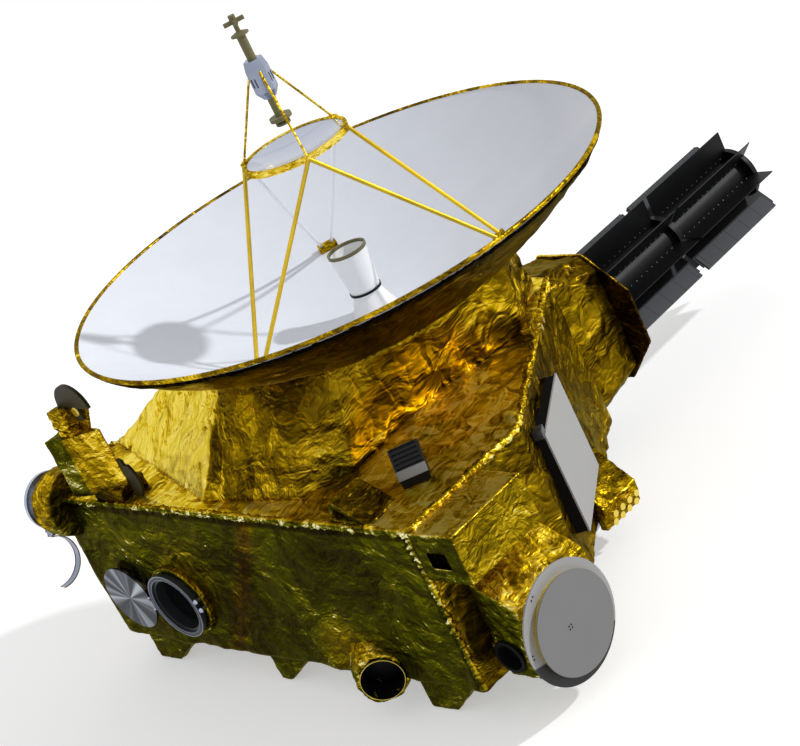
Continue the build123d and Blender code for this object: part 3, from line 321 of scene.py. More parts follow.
@dataclass(frozen=True)
class FilmFinish:
    """Crinkled metal film: flat panels between sharp folds, hair creases and broad dents."""

    name: str
    lit: Sequence[tuple[float, Colour]] = AMBER
    shaded: Sequence[tuple[float, Colour]] = SHADED_OLIVE
    grain_size: float = 1.0
    turn: tuple[float, float, float] = (18, 34, 27)
    metal: float = 0.86
    rough: float = 0.32
    relief_light_gain: float = 1.5
    depth: float = 0.0058
    panels: float = 0.42
    level: float = 0.54

    def _pushed(self, s: Shader, place: Wire) -> Wire:
        """A place pushed about by a slow drift, so that folds wander."""
        k = 1 / self.grain_size
        drift = s.node("ShaderNodeTexNoise", {}, {"Vector": place, "Scale": 3.1 * k,
                                                  "Detail": 3.0})["Color"]
        centred = s.node("ShaderNodeVectorMath", {"operation": "SUBTRACT"},
                         {0: drift, 1: (0.5, 0.5, 0.5)})["Vector"]
        reach = 0.24 * self.grain_size
        return s.node("ShaderNodeVectorMath", {"operation": "MULTIPLY_ADD"},
                      {0: centred, 1: (reach, reach, reach), 2: place})["Vector"]

    def _relief(self, s: Shader, place: Wire) -> Wire:
        """Height of the small folds at a place: long creases, cross folds and flat roofs."""
        k = 1 / self.grain_size
        pushed = self._pushed(s, place)
        long_way = s.mapped((1.0, 0.16, 1.0), self.turn, wire=pushed)
        cross_way = s.mapped((0.3, 1.0, 0.8), (-31, 12, 51), wire=pushed)
        creases = s.node("ShaderNodeTexNoise", {
            "noise_type": "RIDGED_MULTIFRACTAL", "normalize": True}, {
            "Vector": long_way, "Scale": 9 * k, "Detail": 3.0, "Roughness": 0.5,
            "Lacunarity": 2.3, "Offset": 0.9, "Gain": 2.0})["Fac"]
        roofs = s.node("ShaderNodeTexVoronoi", {"feature": "DISTANCE_TO_EDGE"}, {
            "Vector": cross_way, "Scale": 15 * k, "Randomness": 1.0})["Distance"]
        small = s.node("ShaderNodeTexVoronoi", {"feature": "DISTANCE_TO_EDGE"}, {
            "Vector": long_way, "Scale": 46 * k, "Randomness": 1.0})["Distance"]
        return creases * 0.45 + roofs * 1.5 + small * 0.45

    def _panel(self, s: Shader, scale: float, turn: Sequence[float]) -> Wire:
        """A flat tone for each panel between folds, from 0 to 1."""
        wire = s.mapped((1.0, 0.34, 0.8), turn, wire=self._pushed(s, s.place))
        made = s.node("ShaderNodeTexVoronoi", {"feature": "F1"}, {
            "Vector": wire, "Scale": scale / self.grain_size, "Randomness": 1.0})
        return s.axes(made["Color"])[0]

    def material(self) -> bpy.types.Material:
        """Builds the material.

        The piece's "shade" attribute blends the lit ramp to the painted-shade ramp, its "lift"
        attribute brightens or darkens it, mostly with painted light and shade by region, and its
        "fold" attribute paints folds facing the light's way brighter and those facing away
        darker.
        """
        s = Shader(self.name)
        height = self._relief(s, s.place)
        # Painted light: the relief taken again a step along the light's way; the difference
        # paints a highlight on one side of each crease and shade on the other.
        aside = tuple(float(c) * 0.004 * self.grain_size for c in PAINTED_LIGHT_WAY)
        beside = s.node("ShaderNodeVectorMath", {"operation": "ADD"},
                        {0: s.place, 1: aside})["Vector"]
        relief_light = height - self._relief(s, beside)
        broad = s.grain(2.1 / self.grain_size, 3.0, 0.5)
        panel = (self._panel(s, 6.0, (40, 12, 33)) * 0.55
                 + self._panel(s, 17.0, (-24, 50, 12)) * 0.45 - 0.5)
        # Bright hair lines along creases, in patches: painted highlights.
        hair = s.grain(40 / self.grain_size, 3.0, 0.6, s.mapped((1, 0.1, 1), self.turn), 0.6)
        lines = (hair - 0.5).step(0.1, 0.17) * s.grain(5 / self.grain_size).step(0.52, 0.66)
        values = {name: s.node("ShaderNodeAttribute", {"attribute_name": name}, {})["Fac"]
                  for name in ("shade", "lift", "fold")}
        tone = (self.level + (broad - 0.5) * 0.5 + panel * self.panels + relief_light * self.relief_light_gain
                + lines * 0.34 + values["fold"] * 0.5 + values["lift"])
        colour = s.blend(values["shade"], s.ramp(tone, self.lit), s.ramp(tone, self.shaded))
        s.feed({"Base Color": colour, "Metallic": self.metal, "Specular IOR Level": 0.05,
                "Specular Tint": shown(206, 196, 96),
                "Roughness": (self.rough - 0.1 + broad * 0.2).clamp()})
        s.bump(height, self.depth * self.grain_size)
        return s.material


@dataclass(frozen=True)
class Crumple:
    """How deep and how long a blanket's folds are, in metres."""

    sag: float = 0.006
    fold: float = 0.0045
    crease: float = 0.0016
    reach: float = 0.17
    seed: int = 1
    stretch: float = 0.42

    def depth(self, points: np.ndarray) -> np.ndarray:
        """Height of the film over its base at each point.

        Args:
            points: N places, in metres.

        Returns:
            N heights, in metres, with a mean near nothing.
        """
        rng = np.random.default_rng(self.seed)
        drift = np.array([noise.noise_vector(p) for p in points * 2.2 + self.seed])
        ripple = np.array([noise.noise_vector(p) for p in points * 6.5 + self.seed])
        moved = points + 0.14 * drift + 0.03 * ripple
        height = self.sag * drift[:, 0]
        for count, deep, reach in ((3, self.fold, self.reach), (4, self.crease, self.reach / 3)):
            for k in range(count):
                way = rng.normal(size=3)
                way /= np.linalg.norm(way)
                pitch = reach * rng.uniform(0.6, 1.5)
                phase = moved @ way / pitch + rng.uniform()
                wave = 1 - np.abs(2 * (phase - np.floor(phase)) - 1)
                patch = np.clip(0.4 + 1.6 * ripple[:, k % 3] * (1 if k % 2 else -1), 0, 1)
                height += deep * (wave ** 1.6 - 0.38) * patch
        frame_way = np.linalg.qr(rng.normal(size=(3, 3)))[0]
        turned = (moved @ frame_way) * np.array((1.0, self.stretch, 1.0))
        for deep, reach in ((self.fold, self.reach * 0.8), (self.crease, self.reach * 0.3)):
            near = np.array([noise.voronoi(p)[0][:2] for p in turned / reach])
            height += deep * (0.7 - np.clip(1.5 * (near[:, 1] - near[:, 0]), 0, 1))
        return height


def node_mesh(node: str) -> bpy.types.Mesh:
    """A merged copy of a node's mesh, with flat faces dissolved and closed again."""
    bm = bmesh.new()
    bm.from_mesh(NODES[node].data)
    bmesh.ops.remove_doubles(bm, verts=bm.verts, dist=1e-5)
    bmesh.ops.dissolve_limit(bm, angle_limit=math.radians(0.4), verts=bm.verts, edges=bm.edges)
    bmesh.ops.triangulate(bm, faces=bm.faces)
    mesh = bpy.data.meshes.new(node + "_base")
    bm.to_mesh(mesh)
    bm.free()
    return mesh


def add_piece(name: str, mesh: bpy.types.Mesh, finish: bpy.types.Material,
              body: str = PROBE, angle: float = SMOOTH_ANGLE) -> bpy.types.Object:
    """Puts a finished mesh in the scene.

    Args:
        name: The piece's name.
        mesh: Its mesh, in place.
        finish: Its material.
        body: The body that it rides on.
        angle: Edges sharper than this stay sharp.

    Returns:
        The new object.
    """
    mesh.materials.clear()
    mesh.materials.append(finish)
    mesh.polygons.foreach_set("use_smooth", [True] * len(mesh.polygons))
    mesh.set_sharp_from_angle(angle=angle)
    obj = bpy.data.objects.new(name, mesh)
    bpy.context.scene.collection.objects.link(obj)
    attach(obj, body)
    LOG.info("%s: %d faces", name, len(mesh.polygons))
    return obj


def add_bmesh(name: str, bm: bmesh.types.BMesh, finish: bpy.types.Material,
              body: str = PROBE, angle: float = SMOOTH_ANGLE) -> bpy.types.Object:
    """Writes a bmesh and puts it in the scene as add_piece does."""
    bmesh.ops.recalc_face_normals(bm, faces=bm.faces)
    mesh = bpy.data.meshes.new(name)
    bm.to_mesh(mesh)
    bm.free()
    return add_piece(name, mesh, finish, body, angle)


def dress(finish: bpy.types.Material, *nodes: str) -> None:
    """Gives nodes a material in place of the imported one."""
    for name in nodes:
        obj = NODES[name]
        if not obj.material_slots:
            obj.data.materials.append(finish)
        for slot in obj.material_slots:
            slot.material = finish


Field = Callable[[np.ndarray, np.ndarray], np.ndarray]


def rise(low: float, high: float, value: np.ndarray) -> np.ndarray:
    """A smooth rise from 0 at low to 1 at high."""
    t = np.clip((value - low) / (high - low), 0, 1)
    return t * t * (3 - 2 * t)


def cloud(points: np.ndarray, scale: float, seed: float = 0.0) -> np.ndarray:
    """Slow noise from -1 to 1 at each point."""
    return np.array([noise.noise(p) for p in points * scale + seed])


def spot(points: np.ndarray, centre: Sequence[float], reach: float) -> np.ndarray:
    """1 at a centre, fading to 0 at the reach."""
    return 1 - rise(0.0, reach, np.linalg.norm(points - np.array(centre), axis=1))


def front_shade(points: np.ndarray, ways: np.ndarray) -> np.ndarray:
    """Painted shade: olive film on the faces to the front and underneath, amber on the rest."""
    blur = cloud(points, 4.0)
    return np.clip(rise(0.5, 0.78, -ways[:, 1] + 0.1 * blur)
                   + rise(0.45, 0.85, -ways[:, 2] + 0.12 * blur), 0, 1)


def no_lift(points: np.ndarray, ways: np.ndarray) -> np.ndarray:
    """No brightening."""
    return np.zeros(len(points))


@dataclass
class Blanket:
    """A film covering that follows a solid: evenly remeshed, wrinkled and tinted, with painted
    light and shade.
    """

    name: str
    finish: bpy.types.Material
    cell: float = 0.010
    crumple: Crumple = field(default_factory=Crumple)
    keep: Optional[Field] = None
    shade: Field = front_shade
    lift: Field = no_lift

    def cover(self, mesh: bpy.types.Mesh) -> bpy.types.Object:
        """Makes the film over a closed mesh.

        Args:
            mesh: The closed mesh; it is used up.

        Returns:
            The film.
        """
        base = bpy.data.objects.new(self.name + "_base", mesh)
        bpy.context.scene.collection.objects.link(base)
        remesh = base.modifiers.new("cells", "REMESH")
        remesh.mode = "VOXEL"
        remesh.voxel_size = self.cell
        graph = bpy.context.evaluated_depsgraph_get()
        even = bpy.data.meshes.new_from_object(base.evaluated_get(graph))
        bpy.data.objects.remove(base)
        count = len(even.vertices)
        points, ways = self._read(even, "co"), self._normals(even)
        height = self.crumple.depth(points)
        if self.keep is not None:
            height *= self.keep(points, ways)
        even.vertices.foreach_set("co", (points + ways * height[:, None]).ravel())
        even.update()
        # Painted light: how far each fold tilts toward the light's way, painted brighter or
        # darker.
        fold = (self._normals(even) - ways) @ PAINTED_LIGHT_WAY
        layers = (("shade", self.shade(points, ways)), ("lift", self.lift(points, ways)),
                  ("fold", fold))
        for name, values in layers:
            layer = even.attributes.new(name, "FLOAT", "POINT")
            layer.data.foreach_set("value", values.astype(np.float32))
        LOG.info("%s: %d points", self.name, count)
        even.name = self.name + "_film"
        return add_piece(self.name + "_film", even, self.finish,
                         angle=math.radians(60))

    def build(self) -> bpy.types.Object:
        """Covers the node of this name and takes its place."""
        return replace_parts(self.cover(node_mesh(self.name)), self.name)

    @staticmethod
    def _read(mesh: bpy.types.Mesh, what: str) -> np.ndarray:
        """N points of a mesh, in metres."""
        values = np.empty(len(mesh.vertices) * 3, np.float32)
        mesh.vertices.foreach_get(what, values)
        return values.reshape(-1, 3).astype(float)

    @staticmethod
    def _normals(mesh: bpy.types.Mesh) -> np.ndarray:
        """N point normals of a mesh."""
        values = np.empty(len(mesh.vertices) * 3, np.float32)
        mesh.vertex_normals.foreach_get("vector", values)
        return values.reshape(-1, 3).astype(float)


# Small pieces -----------------------------------------------------------------------------

class Shapes:
    """Plain solids gathered in one mesh, each made by an operator."""

    def __init__(self) -> None:
        """Starts an empty mesh."""
        self.bm = bmesh.new()

    def rod(self, start: Sequence[float], end: Sequence[float], radius: float,
            end_radius: Optional[float] = None, sides: int = 16, cap: bool = True) -> "Shapes":
        """Adds a rod or a cone between two points.

        Args:
            start: Middle of the first end, in metres.
            end: Middle of the other end.
            radius: Radius at the start.
            end_radius: Radius at the end, the same if not given.
            sides: Faces round it.
            cap: Whether the ends are closed.

        Returns:
            This, for the next piece.
        """
        start, end = Vector(start), Vector(end)
        way = end - start
        place = Matrix.Translation((start + end) / 2) @ way.to_track_quat("Z", "Y").to_matrix(
        ).to_4x4()
        bmesh.ops.create_cone(self.bm, cap_ends=cap, segments=sides, radius1=radius,
                              radius2=radius if end_radius is None else end_radius,
                              depth=way.length, matrix=place)
        return self

    def block(self, centre: Sequence[float], size: Sequence[float], azimuth: float = 0.0,
              tilt: float = 0.0, bevel: float = 0.0) -> "Shapes":
        """Adds a block.

        Args:
            centre: Its middle, in metres.
            size: Its three sides.
            azimuth: Turn about the upright axis, in degrees.
            tilt: Turn about its own long side before that, in degrees.
            bevel: Width of its rounded edges.

        Returns:
            This, for the next piece.
        """
        place = (Matrix.Translation(centre) @ Matrix.Rotation(math.radians(azimuth), 4, "Z")
                 @ Matrix.Rotation(math.radians(tilt), 4, "Y") @ Matrix.Diagonal((*size, 1)))
        made = bmesh.ops.create_cube(self.bm, size=1.0, matrix=place)
        if bevel:
            edges = {e for v in made["verts"] for e in v.link_edges}
            bmesh.ops.bevel(self.bm, geom=list(edges), offset=bevel, segments=2, profile=0.5,
                            affect="EDGES", material=-1)
        return self

    def turned(self, start: Sequence[float], way: Sequence[float],
               profile: Sequence[tuple[float, float]], steps: int = 72) -> "Shapes":
        """Adds a closed ring, a section turned about an axis.

        Args:
            start: A point on the axis, in metres.
            way: The axis.
            profile: The section's corners, as distance along the axis and radius.
            steps: Faces round the ring.

        Returns:
            This, for the next piece.
        """
        axis = Vector(way).normalized()
        side = axis.orthogonal().normalized()
        corners = [self.bm.verts.new(Vector(start) + axis * a + side * r) for a, r in profile]
        edges = [self.bm.edges.new((corners[k - 1], corners[k])) for k in range(len(corners))]
        bmesh.ops.spin(self.bm, geom=corners + edges, cent=Vector(start), axis=axis,
                       angle=math.tau, steps=steps, use_merge=True)
        return self

    def button(self, centre: Sequence[float], way: Sequence[float], radius: float,
               height: float, sides: int = 12) -> "Shapes":
        """Adds a low round head on a surface, pointing one way."""
        start = Vector(centre)
        end = start + Vector(way).normalized() * height
        return self.rod(start, end, radius, radius * 0.72, sides)

    def add(self, name: str, finish: bpy.types.Material, slot: str, body: str = PROBE,
            angle: float = SMOOTH_ANGLE) -> bpy.types.Object:
        """Puts the pieces in the scene as one object."""
        return add_bmesh(name, self.bm, finish, body, angle)


# Plain finishes ---------------------------------------------------------------------------

@dataclass(frozen=True)
class CoatFinish:
    """Paint, black coat or metal with mottling, a fine grain and worn patches."""

    name: str
    colour: Colour
    rough: float = 0.5
    metal: float = 0.0
    mottle: float = 0.1
    grain: float = 260.0
    depth: float = 0.0002
    coat: float = 0.0
    gloss: float = 0.5
    second: Optional[Colour] = None
    where: Optional[Callable[[Shader], Wire]] = None

    def material(self) -> bpy.types.Material:
        """Builds the material; "where" tells which part takes the second colour."""
        s = Shader(self.name)
        misty = s.grain(5.0, 4.0)
        speck = s.grain(self.grain, 3.0, 0.6)
        dark = tuple(c * (1 - 2.2 * self.mottle) for c in self.colour)
        light = tuple(min(1.0, c * (1 + self.mottle)) for c in self.colour)
        tint = s.blend((misty * 0.7 + speck * 0.3).step(0.2, 0.75), dark, light)
        if self.where is not None:
            tint = s.blend(self.where(s), tint, self.second)
        s.feed({"Base Color": tint, "Metallic": self.metal, "Coat Weight": self.coat,
                "Specular IOR Level": self.gloss,
                "Roughness": (self.rough - 0.08 + misty * 0.1 + speck * 0.08).clamp(0.03, 1)})
        s.bump(speck, self.depth)
        return s.material


def rear_struts(s: Shader) -> Wire:
    """1 on the struts behind the dish's left, which are painted white."""
    x, y, z = s.axes()
    return (x * -1).step(-0.004, 0.0) * y.step(-0.101, -0.095) * (1 - z.step(1.742, 1.748))


def panel_seams(s: Shader) -> Wire:
    """1 on the seams between the tiles of a clip-on panel."""
    return 1 - (((s.axes()[1] - 0.94) / 0.0965) % 1).step(0.03, 0.045)


def cover_edges(s: Shader) -> Wire:
    """1 on the drum cover's outer edge, which is dark."""
    return (s.axes()[0] * -1).step(1.287, 1.29)


def ring_shadow(s: Shader) -> Wire:
    """1 on the lower part of the radiator's ring, black with painted shadow."""
    z = s.axes()[2]
    y = s.axes()[1]
    return 1 - (z + y * 0.25 + 0.01 * s.grain(30)).step(0.035, 0.045)


@dataclass(frozen=True)
class DoorFinish:
    """Polished cover with a turned surface; its bright and dark sectors are a painted
    reflection.
    """

    name: str = "door_silver"
    centre: tuple[float, float, float] = (-0.963, 0.0, 0.373)

    def material(self) -> bpy.types.Material:
        """Builds the material."""
        s = Shader(self.name)
        x, _, z = s.axes(s.mapped(shift=tuple(-c for c in self.centre)))
        turn = z.arc(x)
        # Painted reflection: bright and dark sectors round the cover's centre, in its base
        # colour.
        fans = s.node("ShaderNodeTexNoise", {"noise_dimensions": "1D"},
                      {"W": turn * 1.3 + 5.2, "Scale": 1.3, "Detail": 1.2})["Fac"]
        reach = (x * x + z * z) ** 0.5
        rings = s.node("ShaderNodeTexNoise", {"noise_dimensions": "1D"},
                       {"W": reach, "Scale": 900.0, "Detail": 1.0})["Fac"]
        painted_sheen = (fans + (rings - 0.5) * 0.1).step(0.42, 0.76)
        s.feed({"Base Color": s.blend(painted_sheen, shown(40, 44, 52), shown(190, 196, 208)),
                "Metallic": 0.85, "Roughness": (0.26 + rings * 0.1).clamp()})
        s.bump(rings, 0.0001)
        return s.material


@dataclass
class Finishes:
    """Every material of the probe."""

    film: bpy.types.Material = None
    film_small: bpy.types.Material = None
    film_dusk: bpy.types.Material = None
    white: bpy.types.Material = None
    black: bpy.types.Material = None
    satin_black: bpy.types.Material = None
    fin: bpy.types.Material = None
    panel: bpy.types.Material = None
    silver: bpy.types.Material = None
    hub: bpy.types.Material = None
    khaki: bpy.types.Material = None
    grey: bpy.types.Material = None
    pale_grey: bpy.types.Material = None
    ring_grey: bpy.types.Material = None
    olive: bpy.types.Material = None
    brown: bpy.types.Material = None
    gold_smooth: bpy.types.Material = None
    strut_gold: bpy.types.Material = None
    door: bpy.types.Material = None
    lip: bpy.types.Material = None
    horn: bpy.types.Material = None
    mirror: bpy.types.Material = None
    cover: bpy.types.Material = None
    film_bright: bpy.types.Material = None

    def make(self) -> "Finishes":
        """Builds them all."""
        self.film = FilmFinish("gold_film").material()
        self.film_small = FilmFinish("gold_film_small", grain_size=0.5).material()
        self.film_dusk = FilmFinish("gold_film_dusk", lit=DUSK, grain_size=0.9).material()
        # A brighter copy of the gold film: painted light.
        self.film_bright = FilmFinish("gold_film_bright", grain_size=0.3, level=0.78).material()
        self.door = DoorFinish().material()
        coats = (
            CoatFinish("dish_white", (0.79, 0.82, 0.9), 0.36, mottle=0.02, grain=90, coat=0.2),
            CoatFinish("matt_black", (0.004, 0.004, 0.0045), 0.62, mottle=0.15, gloss=0.1),
            CoatFinish("satin_black", (0.007, 0.0072, 0.008), 0.34, mottle=0.15, gloss=0.2),
            CoatFinish("fin_black", (0.0045, 0.0047, 0.0052), 0.42, mottle=0.18, gloss=0.14),
            CoatFinish("panel_grey", (0.036, 0.04, 0.047), 0.5, mottle=0.14, gloss=0.2,
                       second=(0.006, 0.006, 0.007), where=panel_seams),
            CoatFinish("bright_silver", (0.42, 0.46, 0.56), 0.24, 1.0, mottle=0.1),
            CoatFinish("hub_silver", (0.3, 0.34, 0.44), 0.3, 0.9, mottle=0.16),
            CoatFinish("khaki_paint", (0.2, 0.18, 0.08), 0.5, mottle=0.2, gloss=0.3),
            CoatFinish("radiator_grey", (0.205, 0.205, 0.205), 0.72, mottle=0.02),
            CoatFinish("plate_grey", (0.37, 0.37, 0.365), 0.7, mottle=0.02),
            CoatFinish("ring_grey", (0.37, 0.37, 0.375), 0.6, mottle=0.03,
                       second=(0.012, 0.012, 0.013), where=ring_shadow),
            CoatFinish("olive_coat", (0.06, 0.06, 0.012), 0.45, 0.3, mottle=0.16),
            CoatFinish("brown_coat", (0.04, 0.033, 0.009), 0.5, 0.2, mottle=0.25, gloss=0.2),
            CoatFinish("smooth_gold", (0.8, 0.62, 0.1), 0.26, 0.85, mottle=0.14),
            CoatFinish("strut_gold", (0.72, 0.49, 0.02), 0.34, 0.7, mottle=0.18, grain=120,
                       second=(0.95, 0.95, 0.97), where=rear_struts),
            CoatFinish("lip_grey", (0.04, 0.042, 0.047), 0.36, 0.5, mottle=0.12),
            # The horn's white, brighter than the dish's, is painted light against the bowl's
            # shade.
            CoatFinish("horn_white", (0.97, 0.98, 1.0), 0.4, mottle=0.01, coat=0.2),
            CoatFinish("mirror_blue", (0.5, 0.54, 0.65), 0.2, 0.6, mottle=0.04, coat=0.3),
            CoatFinish("cover_blue", (0.3, 0.34, 0.46), 0.26, 0.7, mottle=0.1,
                       second=(0.01, 0.01, 0.011), where=cover_edges),
        )
        (self.white, self.black, self.satin_black, self.fin, self.panel, self.silver, self.hub,
         self.khaki, self.grey, self.pale_grey, self.ring_grey, self.olive, self.brown,
         self.gold_smooth, self.strut_gold, self.lip, self.horn, self.mirror,
         self.cover) = (c.material() for c in coats)
        return self


# Sub-assemblies ---------------------------------------------------------------------------

@dataclass
class Body:
    """The bus, its rear neck and shade, the tent under the dish, and the brackets."""

    finishes: Finishes
    deck_z: float = 0.8
    front_y: float = -0.922

    def build(self) -> None:
        """Wraps each solid in film."""
        f = self.finishes
        Blanket("bus_body", f.film, 0.0112, Crumple(0.006, 0.007, 0.0022, 0.22, 3),
                shade=self._bus_shade, lift=self._bus_lift).build()
        Blanket("support_blanket", f.film, 0.0085, Crumple(0.007, 0.008, 0.0024, 0.2, 5),
                shade=self._tent_shade, lift=self._tent_lift).build()
        Blanket("generator_neck", f.film, 0.0085, Crumple(0.005, 0.007, 0.0014, 0.18, 7),
                lift=lambda p, n: 0.1 * cloud(p, 3.0) - 0.17).build()
        Blanket("generator_shield", f.film, 0.0065, Crumple(0.002, 0.0015, 0.001, 0.1, 9),
                shade=no_lift, lift=self._shade_lift).build()
        Blanket("edge_brackets", f.film_small, 0.005, Crumple(0.003, 0.003, 0.001, 0.07, 11)
                ).build()
        Blanket("deck_hood", f.film_small, 0.004, Crumple(0.002, 0.002, 0.001, 0.06, 13)).build()
        Blanket("thruster_pods", f.film_small, 0.0045, Crumple(0.003, 0.003, 0.001, 0.06, 15),
                shade=no_lift, lift=lambda p, n: np.full(len(p), -0.06)).build()
        dress(f.silver, "adapter_ring")
        dress(f.gold_smooth, "thruster_nozzles")
        dress(f.white, "aft_antenna")
        self._seams()
        self._bolts()

    def _streak(self, points: np.ndarray) -> np.ndarray:
        """1 along a reddish band down the front."""
        across = (points[:, 0] - 0.02) * 0.789 - (points[:, 2] - 0.79) * 0.615
        return 1 - rise(0.01, 0.055, np.abs(across + 0.025 * cloud(points, 7.0)))

    def _bus_shade(self, points: np.ndarray, ways: np.ndarray) -> np.ndarray:
        """Painted shade, as olive film, on the front and underneath, taken off along a reddish
        band, at a painted highlight by the star tracker and at an amber patch on the left.
        """
        shade_taken_off = 0.8 * self._streak(points) + 0.55 * spot(points, (0.25, self.front_y, 0.2), 0.24)
        shade_taken_off = shade_taken_off + 0.35 * spot(points, (-0.52, self.front_y, 0.48), 0.26)
        return np.clip(front_shade(points, ways) - shade_taken_off, 0, 1)

    def _bus_lift(self, points: np.ndarray, ways: np.ndarray) -> np.ndarray:
        """Painted shade under the top seam and at the front's right edge by the imager, dark
        along the reddish band, a painted highlight on the tops, painted shade on the front and
        sides.
        """
        front = rise(0.5, 0.8, -ways[:, 1])
        z, x = points[:, 2], points[:, 0]
        under = rise(0.755, 0.772, z) * (1 - rise(0.786, 0.796, z))
        edge = rise(0.835, 0.856, x)
        lift = -0.42 * front * np.clip(under + edge, 0, 1) - 0.26 * front * self._streak(points)
        # Painted light on the tops; painted shade on the front and on sides facing +X and +Y.
        top = rise(0.6, 0.9, ways[:, 2])
        side = rise(0.3, 0.7, ways[:, 0]) + rise(0.3, 0.7, ways[:, 1])
        return (lift + 0.28 * top - 0.07 * front - 0.17 * np.clip(side, 0, 1)
                + 0.1 * cloud(points, 2.6, 4.0))

    def _tent_edge(self, points: np.ndarray) -> np.ndarray:
        """How far a point lies to the right of the tent's front left corner line."""
        return points[:, 0] + 0.278 - 0.148 * (points[:, 2] - self.deck_z)

    def _tent_shade(self, points: np.ndarray, ways: np.ndarray) -> np.ndarray:
        """Nearly all amber, with painted shade, as olive film, low down behind the hood."""
        return 0.75 * spot(points, (0.3, -0.66, self.deck_z), 0.16)

    def _tent_lift(self, points: np.ndarray, ways: np.ndarray) -> np.ndarray:
        """Painted light left of the corner line, painted shade right of it, then mid again."""
        right = self._tent_edge(points) + 0.012 * cloud(points, 8.0)
        bright = 1 - rise(-0.012, 0.012, right)
        dark = (1 - bright) * (1 - rise(0.03, 0.3, right)) * (1 - rise(0.95, 1.15, points[:, 2]))
        front = 1 - rise(-0.4, 0.1, points[:, 1])
        high = rise(1.0, 1.14, points[:, 2])
        return (front * (0.52 * bright - 0.06 * dark) - 0.04 * high + 0.08 * cloud(points, 3.0)
                - 0.12 * rise(-0.2, 0.0, points[:, 0]) * (1 - rise(0.0, 0.3, points[:, 0]))
                - 0.24 * spot(points, (0.2, -0.42, 0.98), 0.36)
                + 0.1 * rise(0.2, 0.5, points[:, 0]))

    def _shade_lift(self, points: np.ndarray, ways: np.ndarray) -> np.ndarray:
        """Painted light at the top of the shield, painted shade at the lower right."""
        low = rise(0.06, 0.2, points[:, 0] - 0.35 * (points[:, 2] - 0.62))
        return 0.06 - 0.5 * low + 0.3 * rise(0.2, 0.6, ways[:, 2])

    def _seams(self) -> None:
        """Rolled seams of film along the deck's edges and the front's right edge."""
        z = self.deck_z - 0.002
        runs = (((-1.12, self.front_y, z), (0.862, self.front_y, z), (0.873, -0.91, z),
                 (0.873, -0.33, z), (0.21, 0.63, z)),
                ((-1.262, -0.63, z), (-1.268, -0.57, z), (-0.21, 0.63, z)),
                ((0.864, self.front_y + 0.004, z), (0.864, self.front_y + 0.004, 0.15)))
        shapes = Shapes()
        for run in runs:
            for start, end in zip(run, run[1:]):
                shapes.rod(start, end, 0.0095, sides=12)
        mesh = bpy.data.meshes.new("deck_seams_base")
        shapes.bm.to_mesh(mesh)
        shapes.bm.free()
        # Painted glints: brighter film along the seams, patchy at random.
        Blanket("deck_seams", self.finishes.film_small, 0.0038,
                Crumple(0.002, 0.0065, 0.0032, 0.045, 17, 0.8),
                lift=lambda p, n: 0.16 + 0.24 * cloud(p, 34.0)).cover(mesh)

    def _bolts(self) -> None:
        """A bolt in each hole of the launch ring's lower flange."""
        shapes = Shapes()
        for k in range(24):
            a = math.radians(15 * k)
            x, y = 0.466 * math.cos(a), 0.466 * math.sin(a)
            shapes.rod((x, y, 0.012), (x, y, 0.014), 0.0085)
            shapes.rod((x, y, 0.014), (x, y, 0.02), 0.0068, sides=6)
        shapes.add("ring_bolts", self.finishes.hub, "metal_ring")


@dataclass
class Dish:
    """The dish, its rim, struts, subreflector, horn and mast."""

    finishes: Finishes
    radius: float = 1.03

    def build(self) -> None:
        """Dresses the dish and wraps its back."""
        f = self.finishes
        # The back's film is a darker copy, painted shade, with painted light and shade by
        # region.
        Blanket("dish_back", f.film_dusk, 0.0105, Crumple(0.003, 0.004, 0.0014, 0.16, 21),
                keep=lambda p, n: rise(0.1, 0.4, -n[:, 2]), shade=no_lift,
                lift=self._back_lift).build()
        dress(f.white, "dish_reflector")
        dress(f.mirror, "subreflector")
        dress(f.horn, "feed_horn")
        dress(f.film_small, "dish_rim", "strut_feet")
        dress(f.film_bright, "node_ring", "mast_struts")
        dress(f.strut_gold, "antenna_struts")
        dress(f.khaki, "horn_lip", "low_gain_feed", "mast_tip")
        dress(f.satin_black, "horn_collar")
        dress(f.hub, "mast_hub")

    def _back_lift(self, points: np.ndarray, ways: np.ndarray) -> np.ndarray:
        """Painted shade, black, next to the rim and darker to the right; painted light low down
        at the front left.
        """
        reach = np.hypot(points[:, 0], points[:, 1]) / self.radius
        painted_light_spot = spot(points, (0.06, -0.68, 1.16), 0.52)
        return (0.02 - 0.17 * rise(0.3, 0.65, points[:, 0]) + 0.62 * painted_light_spot
                - 0.95 * rise(0.962, 0.988, reach) + 0.1 * cloud(points, 3.0))


@dataclass
class Generator:
    """The finned generator."""

    finishes: Finishes
    axis_z: float = 0.462
    housing_r: float = 0.084
    runs: tuple[tuple[float, float], ...] = ((0.975, 1.43), (1.5, 1.97))
    fins: int = 8
    fin_half: float = 0.002
    rivet_pitch: float = 0.036

    def build(self) -> None:
        """Dresses the housing, fins and clip-on panels."""
        f = self.finishes
        dress(f.fin, "generator_body", "generator_cap")
        dress(f.panel, "fin_panels")
        self._rivets()

    def _rivets(self) -> None:
        """A row of rivets along the foot of each fin, on both sides."""
        shapes = Shapes()
        for k in range(self.fins):
            a = math.tau * k / self.fins
            out, side = Vector((math.cos(a), 0, -math.sin(a))), Vector((math.sin(a), 0,
                                                                        math.cos(a)))
            for low, high in self.runs:
                for n in range(int((high - low) / self.rivet_pitch) + 1):
                    along = Vector((0, low + n * self.rivet_pitch, self.axis_z))
                    for sign in (-1, 1):
                        at = along + out * (self.housing_r + 0.016) + side * sign * self.fin_half
                        shapes.button(at, side * sign, 0.0028, 0.0014, 6)
        shapes.add("fin_rivets", self.finishes.hub, "black_fin")


